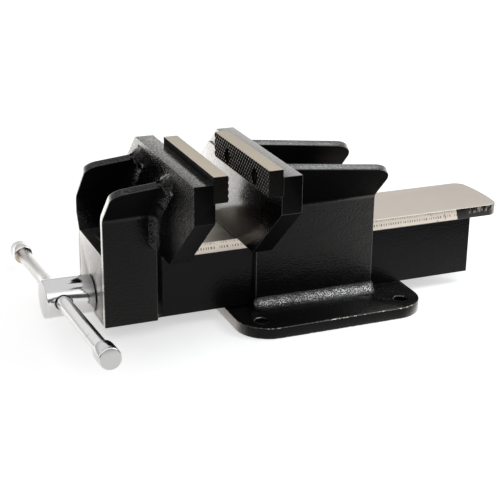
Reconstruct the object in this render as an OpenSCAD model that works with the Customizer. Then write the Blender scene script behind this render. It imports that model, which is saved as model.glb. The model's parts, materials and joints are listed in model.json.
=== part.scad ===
// Offset bench vise, welded up from steel plate.
// Millimetres. X runs along the slide with the rear end positive, Z is up, and the jaws
// are offset towards negative Y, which the names below call the near side.
// The origin is the centre of the base plate's underside.

/* [Base] */
// Length of the base plate along the slide
base_length = 222; // [210:1:240]
// Width of the base plate across the slide
base_width = 224; // [210:1:250]
// Thickness of the base plate
base_thick = 13; // [10:0.5:16]
// Radius of the base plate's corners
base_corner = 38; // [28:1:44]
// Diameter of the holding-down holes
bolt_dia = 15; // [11:0.5:18]
// Distance of each holding-down hole from the two edges beside it
bolt_inset = 25.5; // [22:0.5:30]

/* [Slide] */
// Width of the slide
slide_width = 88; // [80:1:96]
// Height of the slide, with its bar
slide_height = 80.4; // [76:0.2:84]
// Thickness of the machined bar on top of the slide
bar_thick = 13; // [10:0.5:15]
// Thickness of the slide's side walls
wall_thick = 8; // [6:0.5:9]
// How far the side walls run past the base plate at the rear
wall_reach = 87; // [70:0.5:100]
// How far the bar runs past the side walls at the rear
bar_overhang = 41; // [20:0.5:50]
// Radius of the bar's rear corners
bar_corner = 14; // [6:1:18]
// How far the bar's rear end bows out in its middle
bar_bow = 4.5; // [1:0.5:6]
// Thickness of the plate that closes the slide's front end
end_thick = 12; // [10:0.5:14]

/* [Jaws] */
// Length of each jaw insert, the vise's nominal size
jaw_length = 150; // [130:1:170]
// Distance between the jaw inserts as drawn
jaw_opening = 42; // [20:1:70]
// Thickness of the plates that carry the inserts
jaw_plate_thick = 22; // [18:0.5:25]
// Height of a jaw plate's top above the slide
jaw_rise = 107; // [102:1:112]
// Distance of a jaw plate's near end from the middle of the slide
jaw_reach = 167; // [155:1:175]
// Height of the upright near end of a jaw plate
jaw_end_height = 39.4; // [34:0.2:44]
// Slant of the jaw plates' lower near edge and far edge, in degrees from upright
jaw_slant = 48; // [45:1:51]
// How far a jaw plate runs past its insert at the far end
jaw_far_margin = 36; // [30:1:42]
// How far a jaw plate runs past its insert at the near end
jaw_near_margin = 0.8; // [0:0.2:3]
// Distance of the fixed jaw plate from the base plate's front edge
jaw_setback = 11; // [8:1:18]
// Thickness of a jaw insert
insert_thick = 15.5; // [14:0.5:18]
// Depth of the seat that is milled into a jaw plate for its insert
seat_depth = 1.5; // [0.5:0.5:2]
// Height of a jaw insert
insert_height = 27; // [26:0.5:31]
// How far a jaw insert stands above its plate
insert_proud = 7.6; // [5:0.2:8]

/* [Side plates] */
// Thickness of the bent side plates
plate_thick = 7; // [5:0.5:9]
// Length of the fixed side plates along the slide
fixed_plate_length = 143.5; // [125:0.5:160]
// Length of the moving side plates along the slide
moving_plate_length = 59.5; // [52:0.5:68]
// Lean of the upper part of the side plates, in degrees from upright
plate_lean = 45; // [42:1:48]
// Inside radius of the side plates' bends
bend_radius = 12; // [8:1:15]
// Height of the fixed plates' bends above the slide
fixed_bend = 33; // [29:1:37]
// Height of the near moving plate's bend above the slide
moving_bend = 41; // [37:1:45]
// Height of the far moving plate's bend above the slide
far_bend = 35; // [31:1:39]
// Length of the fixed plates' leaning part at the jaw
fixed_run = 91; // [82:1:94]
// Length of the near moving plate's leaning part at the jaw
moving_run = 67; // [60:1:72]
// Length of the far moving plate's leaning part at the jaw
far_run = 77.5; // [70:0.5:82]
// Fall of the side plates' top edges away from the jaws, in degrees
top_fall = 12.2; // [9:0.1:14]
// Radius of the fixed plates' free top corners
fixed_corner = 31; // [20:1:36]
// Radius of the moving plates' free top corners
moving_corner = 16; // [10:1:20]
// Outward jog of the far moving plate above the slide
far_jog = 9; // [0:1:10]

/* [Screw] */
// Diameter of the lead screw
screw_dia = 24; // [20:1:28]
// Height of the screw's axis above the base plate's underside
axis_height = 36.2; // [35:0.2:40]
// Diameter of the screw's head
head_dia = 42.5; // [38:0.5:44]
// Length of the screw's head
head_length = 54; // [50:1:62]
// Furthest travel of the moving jaw from the position drawn
open_travel = 150; // [120:5:160]

/* [Handle] */
// Diameter of the handle's bar
handle_dia = 16; // [13:0.5:17]
// Length of the handle with its knobs
handle_length = 402; // [340:2:420]
// Distance of the handle's hole from the front of the screw's head
handle_set = 18; // [16:0.5:19]
// Turn of the handle about the screw, in degrees
handle_tilt = -4.8; // [-8:0.1:8]
// Diameter of the handle's knobs
knob_dia = 23; // [21:0.5:25]
// Length of the handle's knobs
knob_length = 26; // [22:1:30]

/* [Welds] */
// Leg of the weld beads between the base plate and the fixed side plates
base_weld = 11; // [6:0.5:13]
// Leg of the weld beads between the moving side plates and their jaw plate
jaw_weld = 11; // [5:0.5:12]
// Leg of the weld beads down the rear edges of the moving side plates
edge_weld = 6; // [4:0.5:8]

/* [Clearances] */
// Space between the slide and each fixed side plate
side_clear = 0.4; // [0.3:0.1:0.8]
// Space between the slide and the base plate
lift_clear = 1.6; // [1.2:0.1:2.5]
// Space between the slide and its wear strips
strip_clear = 0.1; // [0.1:0.05:0.3]
// Space between the slide's bar and the fixed pieces above it
top_clear = 1.5; // [0.5:0.1:2]
// Space between the screw's shoulders and the end plate
shoulder_clear = 0.5; // [0.3:0.1:1]
// Radial clearance of turning and sliding fits
run_clear = 0.05; // [0.03:0.01:0.08]
// Radial clearance of pieces fixed inside one another
seat_clear = 0.02; // [0.02:0.01:0.05]

/* [Hidden] */
$fn = 64;

// Colours
paint = [0.07, 0.07, 0.075];
machined = [0.72, 0.69, 0.63];
plated = [0.82, 0.82, 0.84];
hardened = [0.30, 0.29, 0.28];
bronze = [0.66, 0.50, 0.28];

// A cutter runs this far past the solid it cuts
over = 1;

// Heights of the slide
slide_bottom = base_thick + lift_clear;
slide_top = slide_bottom + slide_height;
bar_bottom = slide_top - bar_thick;
slide_side = slide_width / 2;

// How far the arcs of the bar's corners stand past the bow between them before it cuts them
bow_lap = 0.2;

// Places along the slide
fixed_jaw_front = -base_length / 2 + jaw_setback;
fixed_plate_front = fixed_jaw_front + jaw_plate_thick;
fixed_plate_rear = fixed_plate_front + fixed_plate_length;
grip_reach = insert_thick - seat_depth;
moving_jaw_rear = fixed_jaw_front - 2 * grip_reach - jaw_opening;
moving_plate_rear = moving_jaw_rear - jaw_plate_thick;
moving_plate_front = moving_plate_rear - moving_plate_length;
slide_front = moving_plate_front + end_thick;
wall_rear = base_length / 2 + wall_reach;
bar_rear = wall_rear + bar_overhang;

// Faces of the side plates that look to the near side
fixed_near_face = -slide_side - side_clear - plate_thick;
fixed_far_face = slide_side + side_clear;
moving_near_face = -slide_side - plate_thick;
moving_far_face = slide_side;

// Side plate details: length that a bend takes up on either side of its corner, and the
// angle at which a rounded corner's arc meets the sides beside it
bend_inset = bend_radius * tan(plate_lean / 2);
corner_kink = 3;

// Jaw plate outline
jaw_top = slide_top + jaw_rise;
insert_near = -jaw_reach + jaw_near_margin;
insert_bottom = jaw_top + insert_proud - insert_height;
jaw_far_top = insert_near + jaw_length + jaw_far_margin;
jaw_far = moving_far_face + far_jog + plate_thick + jaw_weld;

// Jaw screws, socket heads sunk into the inserts
screw_places = [0.25, 0.75];
screw_drop = 9;
socket_head_dia = 16;
socket_head_height = 8;
socket_shank_dia = 10;
socket_key = 8;
socket_depth = 4;
sink_depth = 10.5;
shank_reach = 14;

// Screw and its bearings
head_rear = moving_plate_front - shoulder_clear;
head_front = head_rear - head_length;
spigot_length = 22;
collar_dia = 38;
collar_length = 12;
collar_front = slide_front + shoulder_clear;
collar_pin_dia = 6;
collar_pin_length = collar_dia - 2;
nut_front = -40;
nut_length = 50;
nut_width = 44;
nut_wall = 8;
bush_wall = 5;
bush_dia = screw_dia + 2 * bush_wall;
screw_tail = 10;
screw_rear = nut_front + nut_length + open_travel + screw_tail;
edge_break = 1;

// Handle
handle_x = head_front + handle_set;
hole_flare = 0.8;
knob_bore_depth = 16;
bar_length = handle_length - 2 * (knob_length - knob_bore_depth);
knob_edge = 1.5;

// Wear strips and keeper
strip_inset = 0.5;
strip_margin = 10;
keeper_thick = 12;
keeper_length = 30;
keeper_inset = 15;

// Turns a drawing in X and Y into one in Y and Z that is extruded along X
module along_x(length) {
    rotate([90, 0, 90]) linear_extrude(height = length) children();
}

// Block between two corners
module block(low, high) {
    translate(low) cube(high - low);
}

// Rod along X with its two rims broken
module broken_rod(dia, length, rim) {
    rotate([0, 90, 0]) rotate_extrude() polygon([
        [0, 0], [dia / 2 - rim, 0], [dia / 2, rim],
        [dia / 2, length - rim], [dia / 2 - rim, length], [0, length]
    ]);
}

// Flat rectangle whose far end in X bows out between two rounded corners
module bowed_end(length, width, radius, bow) {
    bow_radius = (pow(width / 2, 2) + pow(bow, 2)) / (2 * bow);
    corner_y = width / 2 - radius;
    bow_fall = bow_radius - sqrt(pow(bow_radius, 2) - pow(corner_y, 2));
    corner_x = length - bow_fall - radius + bow_lap;
    difference() {
        union() {
            translate([0, -width / 2]) square([corner_x, width]);
            translate([0, -corner_y]) square([length + over, 2 * corner_y]);
            for (side = [-1, 1]) translate([corner_x, side * corner_y]) circle(radius);
        }
        translate([length - bow_radius, 0]) difference() {
            translate([bow_radius - 2 * bow, -width]) square([3 * bow + over, 2 * width]);
            circle(bow_radius, $fn = 360);
        }
    }
}

// Rounds the corner that its children have towards the middle of two directions, which are
// square to the sides beside it. The arc meets each side at a slight angle.
module rounded_corner(centre, inset, from, to) {
    radius = inset / cos(corner_kink);
    reach = 2 * radius;
    between = (from + to) / 2;
    difference() {
        children();
        translate(centre) difference() {
            polygon([
                [0, 0], reach * [cos(from), sin(from)],
                reach / cos((to - from) / 2) * [cos(between), sin(between)],
                reach * [cos(to), sin(to)]
            ]);
            circle(radius);
        }
    }
}

// Section of a side plate in Y and Z, as long as its jaw end. The near face's two planes
// meet at the origin.
module plate_profile(drop, jog_drop, run, jog) {
    centre = [-bend_radius, -bend_inset];
    slope = [-sin(plate_lean), cos(plate_lean)];
    outward = [cos(plate_lean), sin(plate_lean)];
    far_corner = plate_thick * [1, tan(plate_lean / 2)];
    top = (run + over) * slope;
    past = (run + bend_radius) * slope;
    difference() {
        rounded_corner(centre, bend_radius + plate_thick, 0, plate_lean) polygon(concat(
            [[-bend_radius - jog, -drop], [plate_thick - jog, -drop]],
            jog > 0 ? [[plate_thick - jog, -jog_drop], [plate_thick, 2 * jog - jog_drop]] : [],
            [far_corner, top + plate_thick * outward, top - bend_radius * outward, centre]
        ));
        rounded_corner(centre, bend_radius, 0, plate_lean) polygon(concat(
            [[-jog, -drop - over]],
            jog > 0 ? [[-jog, -jog_drop], [0, 2 * jog - jog_drop]] : [],
            [[0, 0], past, [-run - 2 * bend_radius, -drop - over]]
        ));
    }
}

// Part of a leaning plate's drawing that lies above its falling top edge. The jaw end is
// at x = 0, the free end at negative x, and y is measured up the slope from the bend.
module above_top(length, run) {
    fall = tan(top_fall);
    polygon([
        [-length - over, run - (length + over) * fall], [over, run + over * fall],
        [over, run + length], [-length - over, run + length]
    ]);
}

// Part of the same drawing that the round free corner leaves off
module beyond_corner(length, run, corner) {
    radius = corner / cos(corner_kink);
    reach = 2 * radius;
    centre_x = corner - length;
    centre_y = run + centre_x * tan(top_fall) - corner / cos(top_fall);
    translate([centre_x, centre_y]) difference() {
        polygon([[0, 0], reach * [-sin(top_fall), cos(top_fall)], [-reach, reach], [-reach, 0]]);
        circle(radius);
    }
}

// Puts a flat drawing on the near face of a leaning part, with the bend at the origin
module on_slope() {
    rotate([plate_lean + 90, 0, 0]) children();
}

// Side plate with its jaw end at x = 0 and its free end at negative x
module bent_plate(length, face, bottom, bend, run, corner, jog = 0) {
    depth = plate_thick + 2 * over;
    translate([0, face + jog, bend]) difference() {
        translate([-length, 0, 0]) along_x(length)
            plate_profile(bend - bottom, bend - slide_top, run, jog);
        on_slope() translate([0, 0, -plate_thick - over]) {
            linear_extrude(height = depth) above_top(length, run);
            linear_extrude(height = depth) beyond_corner(length, run, corner);
        }
    }
}

// Jaw plate outline in Y and Z above the given lower edge
module jaw_outline(bottom) {
    taper_top = jaw_top - jaw_end_height;
    tip = -jaw_reach + (taper_top - bottom) * tan(jaw_slant);
    far_low = jaw_top - (jaw_far - jaw_far_top) / tan(jaw_slant);
    polygon([
        [-jaw_reach, jaw_top], [-jaw_reach, taper_top], [tip, bottom],
        [jaw_far, bottom], [jaw_far, far_low], [jaw_far_top, jaw_top]
    ]);
}

// Repeats its children at both jaw screws, on the middle height of the screws
module at_jaw_screws() {
    for (place = screw_places)
        translate([0, insert_near + place * jaw_length, jaw_top - screw_drop]) children();
}

// Jaw plate whose gripping side is at x = 0, with the insert's seat across it and tapped
// holes towards positive x
module jaw_plate(bottom) {
    hole_depth = seat_depth + shank_reach + seat_clear;
    difference() {
        along_x(jaw_plate_thick) jaw_outline(bottom);
        block([-over, -jaw_reach - over, insert_bottom], [seat_depth, jaw_far + over, jaw_top + over]);
        at_jaw_screws() translate([-over, 0, 0]) rotate([0, 90, 0])
            cylinder(d = socket_shank_dia + 2 * seat_clear, h = hole_depth + over);
    }
}

// Jaw insert whose gripping face is at x = 0 and whose back is at positive x
module jaw_insert() {
    difference() {
        block([0, insert_near, insert_bottom],
              [insert_thick, insert_near + jaw_length, insert_bottom + insert_height]);
        at_jaw_screws() rotate([0, 90, 0]) {
            translate([0, 0, -over])
                cylinder(d = socket_shank_dia + 2 * seat_clear, h = insert_thick + 2 * over);
            translate([0, 0, -over])
                cylinder(d = socket_head_dia + 2 * seat_clear, h = sink_depth + over);
        }
    }
}

// Socket-head screws that hold an insert whose gripping face is at x = 0
module jaw_screws() {
    head_top = sink_depth - socket_head_height;
    at_jaw_screws() rotate([0, 90, 0]) difference() {
        union() {
            translate([0, 0, head_top]) cylinder(d = socket_head_dia, h = socket_head_height);
            translate([0, 0, head_top])
                cylinder(d = socket_shank_dia, h = insert_thick + shank_reach - head_top);
        }
        translate([0, 0, head_top - over])
            cylinder(d = socket_key / cos(30), h = socket_depth + over, $fn = 6);
    }
}

// Triangular bead in Y and Z with its corner at the origin, extruded along X
module bead_along_x(length, leg_y, leg_z) {
    along_x(length) polygon([[0, 0], [leg_y, 0], [0, leg_z]]);
}

// Bead between a moving plate and its jaw plate: one stretch on the upright part, from the
// given height to the bend, and one from the bend up to the plate's top. Side -1 lies on
// the plate's near face and side 1 on its far face.
module jaw_bead(face, low, bend, run, side) {
    surface = side < 0 ? 0 : plate_thick;
    leg = [[0, 0], [-jaw_weld, 0], [0, side * jaw_weld]];
    translate([0, face + surface, low])
        linear_extrude(height = bend - bend_inset - low) polygon(leg);
    translate([0, face, bend]) on_slope()
        translate([0, bend_inset, -surface]) rotate([-90, 0, 0])
            linear_extrude(height = run - bend_inset - jaw_weld) polygon(leg);
}

module base_plate() {
    x = base_length / 2;
    y = base_width / 2;
    color(paint) difference() {
        union() {
            block([-x + base_corner, -y, 0], [x - base_corner, y, base_thick]);
            block([-x, -y + base_corner, 0], [x, y - base_corner, base_thick]);
            for (sx = [-1, 1], sy = [-1, 1])
                translate([sx * (x - base_corner), sy * (y - base_corner), 0])
                    cylinder(r = base_corner, h = base_thick);
        }
        for (sx = [-1, 1], sy = [-1, 1])
            translate([sx * (x - bolt_inset), sy * (y - bolt_inset), -over])
                cylinder(d = bolt_dia, h = base_thick + 2 * over);
    }
}

module fixed_plate(face) {
    color(paint) translate([fixed_plate_front, 0, 0]) mirror([1, 0, 0])
        bent_plate(fixed_plate_length, face, base_thick, slide_top + fixed_bend, fixed_run,
                   fixed_corner);
}

module fixed_near_plate() {
    fixed_plate(fixed_near_face);
}

module fixed_far_plate() {
    fixed_plate(fixed_far_face);
}

module base_weld_bead(corner, leg) {
    color(paint) translate([fixed_plate_front, corner, base_thick])
        bead_along_x(fixed_plate_length, leg, abs(leg));
}

module base_weld_near() {
    base_weld_bead(fixed_near_face, -base_weld);
}

module base_weld_far() {
    base_weld_bead(fixed_far_face + plate_thick, base_weld);
}

module fixed_jaw_plate() {
    color(paint) translate([fixed_jaw_front, 0, 0]) jaw_plate(slide_top + top_clear);
}

module fixed_jaw_insert() {
    color(hardened) translate([fixed_jaw_front - grip_reach, 0, 0]) jaw_insert();
}

module fixed_jaw_screws() {
    color(hardened) translate([fixed_jaw_front - grip_reach, 0, 0]) jaw_screws();
}

module keeper_bar() {
    rear = fixed_plate_rear - keeper_inset;
    low = slide_top + top_clear;
    color(paint) block([rear - keeper_length, fixed_near_face + plate_thick, low],
                       [rear, fixed_far_face, low + keeper_thick]);
}

module wear_strips() {
    outer = slide_side - strip_inset;
    inner = slide_side - wall_thick + strip_inset;
    high = slide_bottom - strip_clear;
    color(bronze) for (side = [-1, 1])
        block([fixed_plate_front + strip_margin, side > 0 ? inner : -outer, base_thick],
              [fixed_plate_rear - strip_margin, side > 0 ? outer : -inner, high]);
}

module nut_block() {
    color(hardened) difference() {
        block([nut_front, -nut_width / 2, base_thick],
              [nut_front + nut_length, nut_width / 2, axis_height + bush_dia / 2 + nut_wall]);
        translate([nut_front - over, 0, axis_height]) rotate([0, 90, 0])
            cylinder(d = bush_dia + 2 * seat_clear, h = nut_length + 2 * over);
    }
}

module nut_bush() {
    color(bronze) translate([nut_front, 0, axis_height]) rotate([0, 90, 0]) difference() {
        cylinder(d = bush_dia, h = nut_length);
        translate([0, 0, -over])
            cylinder(d = screw_dia + 2 * run_clear, h = nut_length + 2 * over);
    }
}

module slide_bar() {
    color(machined) translate([slide_front, 0, bar_bottom])
        linear_extrude(height = bar_thick)
            bowed_end(bar_rear - slide_front, slide_width, bar_corner, bar_bow);
}

module slide_near_wall() {
    color(paint) block([slide_front, -slide_side, slide_bottom],
                       [wall_rear, wall_thick - slide_side, bar_bottom]);
}

module slide_far_wall() {
    color(paint) block([slide_front, slide_side - wall_thick, slide_bottom],
                       [wall_rear, slide_side, bar_bottom]);
}

module end_plate() {
    color(paint) difference() {
        block([moving_plate_front, -slide_side, slide_bottom], [slide_front, slide_side, slide_top]);
        translate([moving_plate_front - over, 0, axis_height]) rotate([0, 90, 0])
            cylinder(d = screw_dia + 2 * run_clear, h = end_thick + 2 * over);
    }
}

module moving_near_plate() {
    color(paint) translate([moving_plate_rear, 0, 0])
        bent_plate(moving_plate_length, moving_near_face, slide_bottom,
                   slide_top + moving_bend, moving_run, moving_corner);
}

module moving_far_plate() {
    color(paint) translate([moving_plate_rear, 0, 0])
        bent_plate(moving_plate_length, moving_far_face, slide_bottom,
                   slide_top + far_bend, far_run, moving_corner, far_jog);
}

module moving_jaw_plate() {
    color(paint) translate([moving_jaw_rear, 0, 0]) mirror([1, 0, 0]) jaw_plate(slide_top);
}

module moving_jaw_insert() {
    color(hardened) translate([moving_jaw_rear + grip_reach, 0, 0]) mirror([1, 0, 0]) jaw_insert();
}

module moving_jaw_screws() {
    color(hardened) translate([moving_jaw_rear + grip_reach, 0, 0]) mirror([1, 0, 0]) jaw_screws();
}

module moving_jaw_welds() {
    color(paint) translate([moving_plate_rear, 0, 0]) for (side = [-1, 1]) {
        jaw_bead(moving_near_face, slide_top, slide_top + moving_bend, moving_run, side);
        jaw_bead(moving_far_face + far_jog, slide_top + 2 * far_jog, slide_top + far_bend, far_run,
                 side);
    }
}

module moving_edge_welds() {
    color(paint) for (side = [-1, 1])
        translate([moving_plate_rear, side * slide_side, slide_bottom])
            linear_extrude(height = slide_height)
                polygon([[0, 0], [edge_weld, 0], [0, side * edge_weld]]);
}

module lead_screw() {
    front = head_rear - spigot_length;
    color(hardened) difference() {
        translate([front, 0, axis_height]) broken_rod(screw_dia, screw_rear - front, edge_break);
        translate([collar_front + collar_length / 2, 0, axis_height - screw_dia])
            cylinder(d = collar_pin_dia + 2 * seat_clear, h = 2 * screw_dia);
    }
}

module screw_head() {
    color(plated) difference() {
        translate([head_front, 0, axis_height]) broken_rod(head_dia, head_length, edge_break);
        translate([head_rear - spigot_length, 0, axis_height]) rotate([0, 90, 0])
            cylinder(d = screw_dia + 2 * seat_clear, h = spigot_length + over);
        translate([handle_x, 0, axis_height]) rotate([handle_tilt, 0, 0]) rotate([-90, 0, 0])
            handle_hole();
    }
}

// Hole for the handle, along Z, flared at both mouths
module handle_hole() {
    radius = handle_dia / 2 + run_clear;
    depth = sqrt(pow(head_dia / 2, 2) - pow(radius, 2));
    cylinder(r = radius, h = 2 * head_dia, center = true);
    for (end = [0, 1]) mirror([0, 0, end])
        translate([0, 0, depth - hole_flare])
            cylinder(r1 = radius, r2 = radius + head_dia, h = head_dia);
}

module retaining_collar() {
    color(hardened) difference() {
        translate([collar_front, 0, axis_height]) broken_rod(collar_dia, collar_length, edge_break);
        translate([collar_front - over, 0, axis_height]) rotate([0, 90, 0])
            cylinder(d = screw_dia + 2 * seat_clear, h = collar_length + 2 * over);
        translate([collar_front + collar_length / 2, 0, axis_height - collar_dia])
            cylinder(d = collar_pin_dia + 2 * seat_clear, h = 2 * collar_dia);
    }
}

module collar_pin() {
    low = axis_height - collar_pin_length / 2;
    color(hardened) translate([collar_front + collar_length / 2, 0, low])
        cylinder(d = collar_pin_dia, h = collar_pin_length);
}

// Places a rod drawn along X on the handle's axis, with its middle at the screw's axis
module on_handle() {
    translate([handle_x, 0, axis_height]) rotate([handle_tilt, 0, 0]) rotate([0, 0, 90]) children();
}

module handle_bar() {
    color(plated) on_handle()
        translate([-bar_length / 2, 0, 0]) broken_rod(handle_dia, bar_length, edge_break);
}

module handle_knob() {
    color(plated) on_handle() difference() {
        translate([handle_length / 2 - knob_length, 0, 0])
            broken_rod(knob_dia, knob_length, knob_edge);
        translate([handle_length / 2 - knob_length - over, 0, 0]) rotate([0, 90, 0])
            cylinder(d = handle_dia + 2 * seat_clear, h = knob_bore_depth + over);
    }
}

module near_knob() {
    translate([handle_x, 0, axis_height]) rotate([180, 0, 0]) translate([-handle_x, 0, -axis_height])
        handle_knob();
}

module far_knob() {
    handle_knob();
}

base_plate();
fixed_near_plate();
fixed_far_plate();
base_weld_near();
base_weld_far();
fixed_jaw_plate();
fixed_jaw_insert();
fixed_jaw_screws();
keeper_bar();
wear_strips();
nut_block();
nut_bush();
slide_bar();
slide_near_wall();
slide_far_wall();
end_plate();
moving_near_plate();
moving_far_plate();
moving_jaw_plate();
moving_jaw_insert();
moving_jaw_screws();
moving_jaw_welds();
moving_edge_welds();
lead_screw();
screw_head();
retaining_collar();
collar_pin();
handle_bar();
near_knob();
far_knob();
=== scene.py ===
import json
import math

import bmesh
import bpy
from bpy.props import FloatProperty, FloatVectorProperty, IntProperty, PointerProperty
from mathutils import Matrix, Vector, noise

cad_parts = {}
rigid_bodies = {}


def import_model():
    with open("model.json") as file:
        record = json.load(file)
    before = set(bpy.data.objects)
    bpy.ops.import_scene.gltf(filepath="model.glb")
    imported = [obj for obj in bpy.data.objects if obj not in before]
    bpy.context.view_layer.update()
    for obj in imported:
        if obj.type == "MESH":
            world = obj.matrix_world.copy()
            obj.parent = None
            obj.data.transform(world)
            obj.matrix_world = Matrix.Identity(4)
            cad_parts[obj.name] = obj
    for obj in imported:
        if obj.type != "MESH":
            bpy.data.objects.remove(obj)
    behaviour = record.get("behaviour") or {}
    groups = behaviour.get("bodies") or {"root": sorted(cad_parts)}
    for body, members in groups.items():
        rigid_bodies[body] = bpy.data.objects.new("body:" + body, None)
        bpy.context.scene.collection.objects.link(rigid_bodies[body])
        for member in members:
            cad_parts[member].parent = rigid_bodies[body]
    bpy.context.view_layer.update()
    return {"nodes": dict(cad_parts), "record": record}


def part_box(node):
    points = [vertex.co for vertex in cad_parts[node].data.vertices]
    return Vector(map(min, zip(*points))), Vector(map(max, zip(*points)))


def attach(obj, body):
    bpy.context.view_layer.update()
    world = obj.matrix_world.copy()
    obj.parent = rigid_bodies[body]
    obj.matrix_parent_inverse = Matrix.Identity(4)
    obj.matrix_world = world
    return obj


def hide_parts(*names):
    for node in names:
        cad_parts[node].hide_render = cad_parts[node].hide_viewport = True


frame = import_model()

bl_info = {
    "name": "Offset bench vise",
    "version": (1, 0, 0),
    "blender": (4, 5, 0),
    "location": "3D View > Sidebar > Vise",
    "description": "Dresses the packed vise in its paint, weld beads, machined steel and plating",
    "category": "Object",
}

MM = 0.001
# Places closer together than this are one place
TOUCH = 0.01 * MM

# Sizes that the solids were drawn with
PLATE_THICK = 7 * MM
PLATE_LEAN = math.radians(45)
BEND_RADIUS = 12 * MM
MOVING_BEND = 136 * MM
MOVING_RUN = 67 * MM
FAR_BEND = 130 * MM
FAR_RUN = 77.5 * MM
FAR_JOG = 9 * MM
SCREW_LEAD = 6 * MM
HANDLE_TILT = math.radians(-4.8)
JAW_SCREW_SHARE = 0.75
JAW_SCREW_DROP = 9 * MM
COUNTERBORE = 16.1 * MM

# A leaning plate's direction up, the normal of its far face and what its bend takes off its length
PLATE_SLOPE = Vector((0, -math.sin(PLATE_LEAN), math.cos(PLATE_LEAN)))
PLATE_NORMAL = Vector((0, math.cos(PLATE_LEAN), math.sin(PLATE_LEAN)))
BEND_INSET = BEND_RADIUS * math.tan(PLATE_LEAN / 2)

# Parts of a surface's normal between which it comes to count as facing that way
FACES_FRONT = (0.5, 0.95)
FACES_DOWN = (0.25, 0.6)
FACES_UP = (0.7, 0.95)
FACES_END = (0.9, 0.99)
LIES_FLAT = (0.4, 0.8)
# Upward parts of the normal between which the painted highlight on a bead's crown begins, and ends
CROWN_START = (0.2, 0.62)
CROWN_END = (0.9, 0.99)

# Colours of what shows in places only
MIRRORED = (0.86, 0.84, 0.82)
SCUFFED_STEEL = (0.46, 0.41, 0.35)
CLOUDED_STEEL = (0.56, 0.50, 0.43)
CUTTER_STAIN = (0.035, 0.028, 0.024)
GROUND_SHADE = (0.48, 0.42, 0.34)
BROWNED_STEEL = (0.016, 0.013, 0.011)
TOOTH_DARK = (0.24, 0.225, 0.205)
TOOTH_BRIGHT = (0.52, 0.49, 0.44)
GROOVE_BLACK = (0.006, 0.0055, 0.005)
CHROME_HAZE = (0.56, 0.54, 0.52)
# Painted shade on the end faces of chrome pieces
CHROME_END_SHADE = (0.50, 0.50, 0.505)
SEAM_STAIN = (0.40, 0.29, 0.19)
# Painted shadow in and round the handle's hole
HOLE_SHADOW = (0.02, 0.02, 0.02)
PLATED_BRIGHT = (0.82, 0.82, 0.82)
PLATED_HAZE = (0.74, 0.73, 0.71)
PLATED_STAIN = (0.52, 0.43, 0.32)
SCREW_STEEL = (0.085, 0.082, 0.08)
SOCKET_STEEL = (0.035, 0.034, 0.033)
TARNISH = (0.22, 0.14, 0.07)
ROOM_DARK = (0.02, 0.02, 0.02)
WHITE = (1.0, 1.0, 1.0)

# Body of each node
NODE_BODY = {
    node: body
    for body, nodes in frame["record"]["behaviour"]["bodies"].items()
    for node in nodes
}


# Property groups

def number_option(label, about, default, **kind):
    """Number that a user can change."""
    return FloatProperty(name=label, description=about, default=default, **kind)


def length_option(label, about, default):
    """Length that a user can change."""
    return number_option(label, about, default, unit="LENGTH")


def angle_option(label, about, degrees):
    """Angle that a user can change."""
    return number_option(label, about, math.radians(degrees), subtype="ANGLE")


def vector_option(label, about, default, subtype="COLOR"):
    """Colour or place that a user can change."""
    return FloatVectorProperty(name=label, description=about, default=default, subtype=subtype)


class ViseStage(bpy.types.PropertyGroup):
    """Where the camera stands and how the studio is lit."""

    camera_place: vector_option(
        "Camera place", "Position of the camera", (-0.5763, -1.2370, 0.5767), "TRANSLATION")
    azimuth: angle_option("Azimuth", "Direction the camera looks in, from the far side to the rear", 22.48)
    elevation: angle_option("Elevation", "Angle the camera looks down at", 21.07)
    roll: angle_option("Roll", "Turn of the camera about its own axis", 0.68)
    lens: number_option("Lens", "Focal length on a 36 mm sensor, in millimetres", 90.49)
    floor_size: length_option("Floor size", "Side of the floor", 30.0)
    floor_colour: vector_option("Floor", "Colour of the floor", (0.80, 0.80, 0.80))
    floor_glow: vector_option(
        "Floor glow", "Colour of the floor's light in reflections", (1.0, 0.975, 0.935))
    floor_lift: number_option("Floor lift", "How much the floor is lifted to white", 0.53)
    floor_gleam: number_option("Floor gleam", "How much brighter the floor behind is in reflections", 0.4)
    dome_light: number_option("Dome", "Even light from all round", 0.62)
    zenith: number_option("Zenith", "Strength of the light overhead in reflections", 0.92)
    window: number_option("Window", "Strength of the light over the camera in reflections", 0.9)
    horizon: number_option("Horizon", "Brightness of the horizon in reflections", 0.6)
    softbox_power: number_option("Softbox", "Power of the softbox over the right side", 7.0, unit="POWER")
    softbox_size: length_option("Softbox size", "Side of the softbox", 0.7)
    softbox_colour: vector_option("Softbox colour", "Colour of the softbox", (0.93, 0.97, 1.0))
    softbox_place: vector_option(
        "Softbox place", "Position of the softbox", (0.85, -0.35, 1.05), "TRANSLATION")
    softbox_aim: vector_option(
        "Softbox aim", "Point that the softbox faces", (0.0, 0.0, 0.08), "TRANSLATION")


class ViseFinish(bpy.types.PropertyGroup):
    """Colours and edges of the finishes."""

    paint: vector_option("Paint", "Colour of the black paint", (0.0030, 0.0030, 0.0031))
    gleam: number_option("Gleam", "How late the plates' paint turns into a mirror at a low angle", 3.0)
    # Painted sheen: how much more the faces that look towards the front mirror
    painted_front_sheen: number_option("Front gleam", "How much more the faces at the front mirror", 1.3)
    wall_gleam: number_option("Wall gleam", "The same as gleam for the slide's walls", 4.6)
    machined: vector_option("Machined steel", "Colour of the machined bar", (0.71, 0.645, 0.575))
    ground: vector_option("Ground steel", "Colour of the inserts' ground tops", (0.60, 0.54, 0.44))
    blackened: vector_option(
        "Blackened steel", "Colour of the inserts' blackened faces", (0.005, 0.0047, 0.0045))
    chrome: vector_option("Chrome", "Colour of the plating", (0.66, 0.66, 0.67))
    bronze: vector_option("Bronze", "Colour of the bush and wear strips", (0.52, 0.34, 0.15))
    plate_edge: length_option("Plate edge", "Width of the soft edges of painted plates", 0.7 * MM)
    fine_edge: length_option("Fine edge", "Width of the edges of machined pieces", 0.4 * MM)


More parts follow.
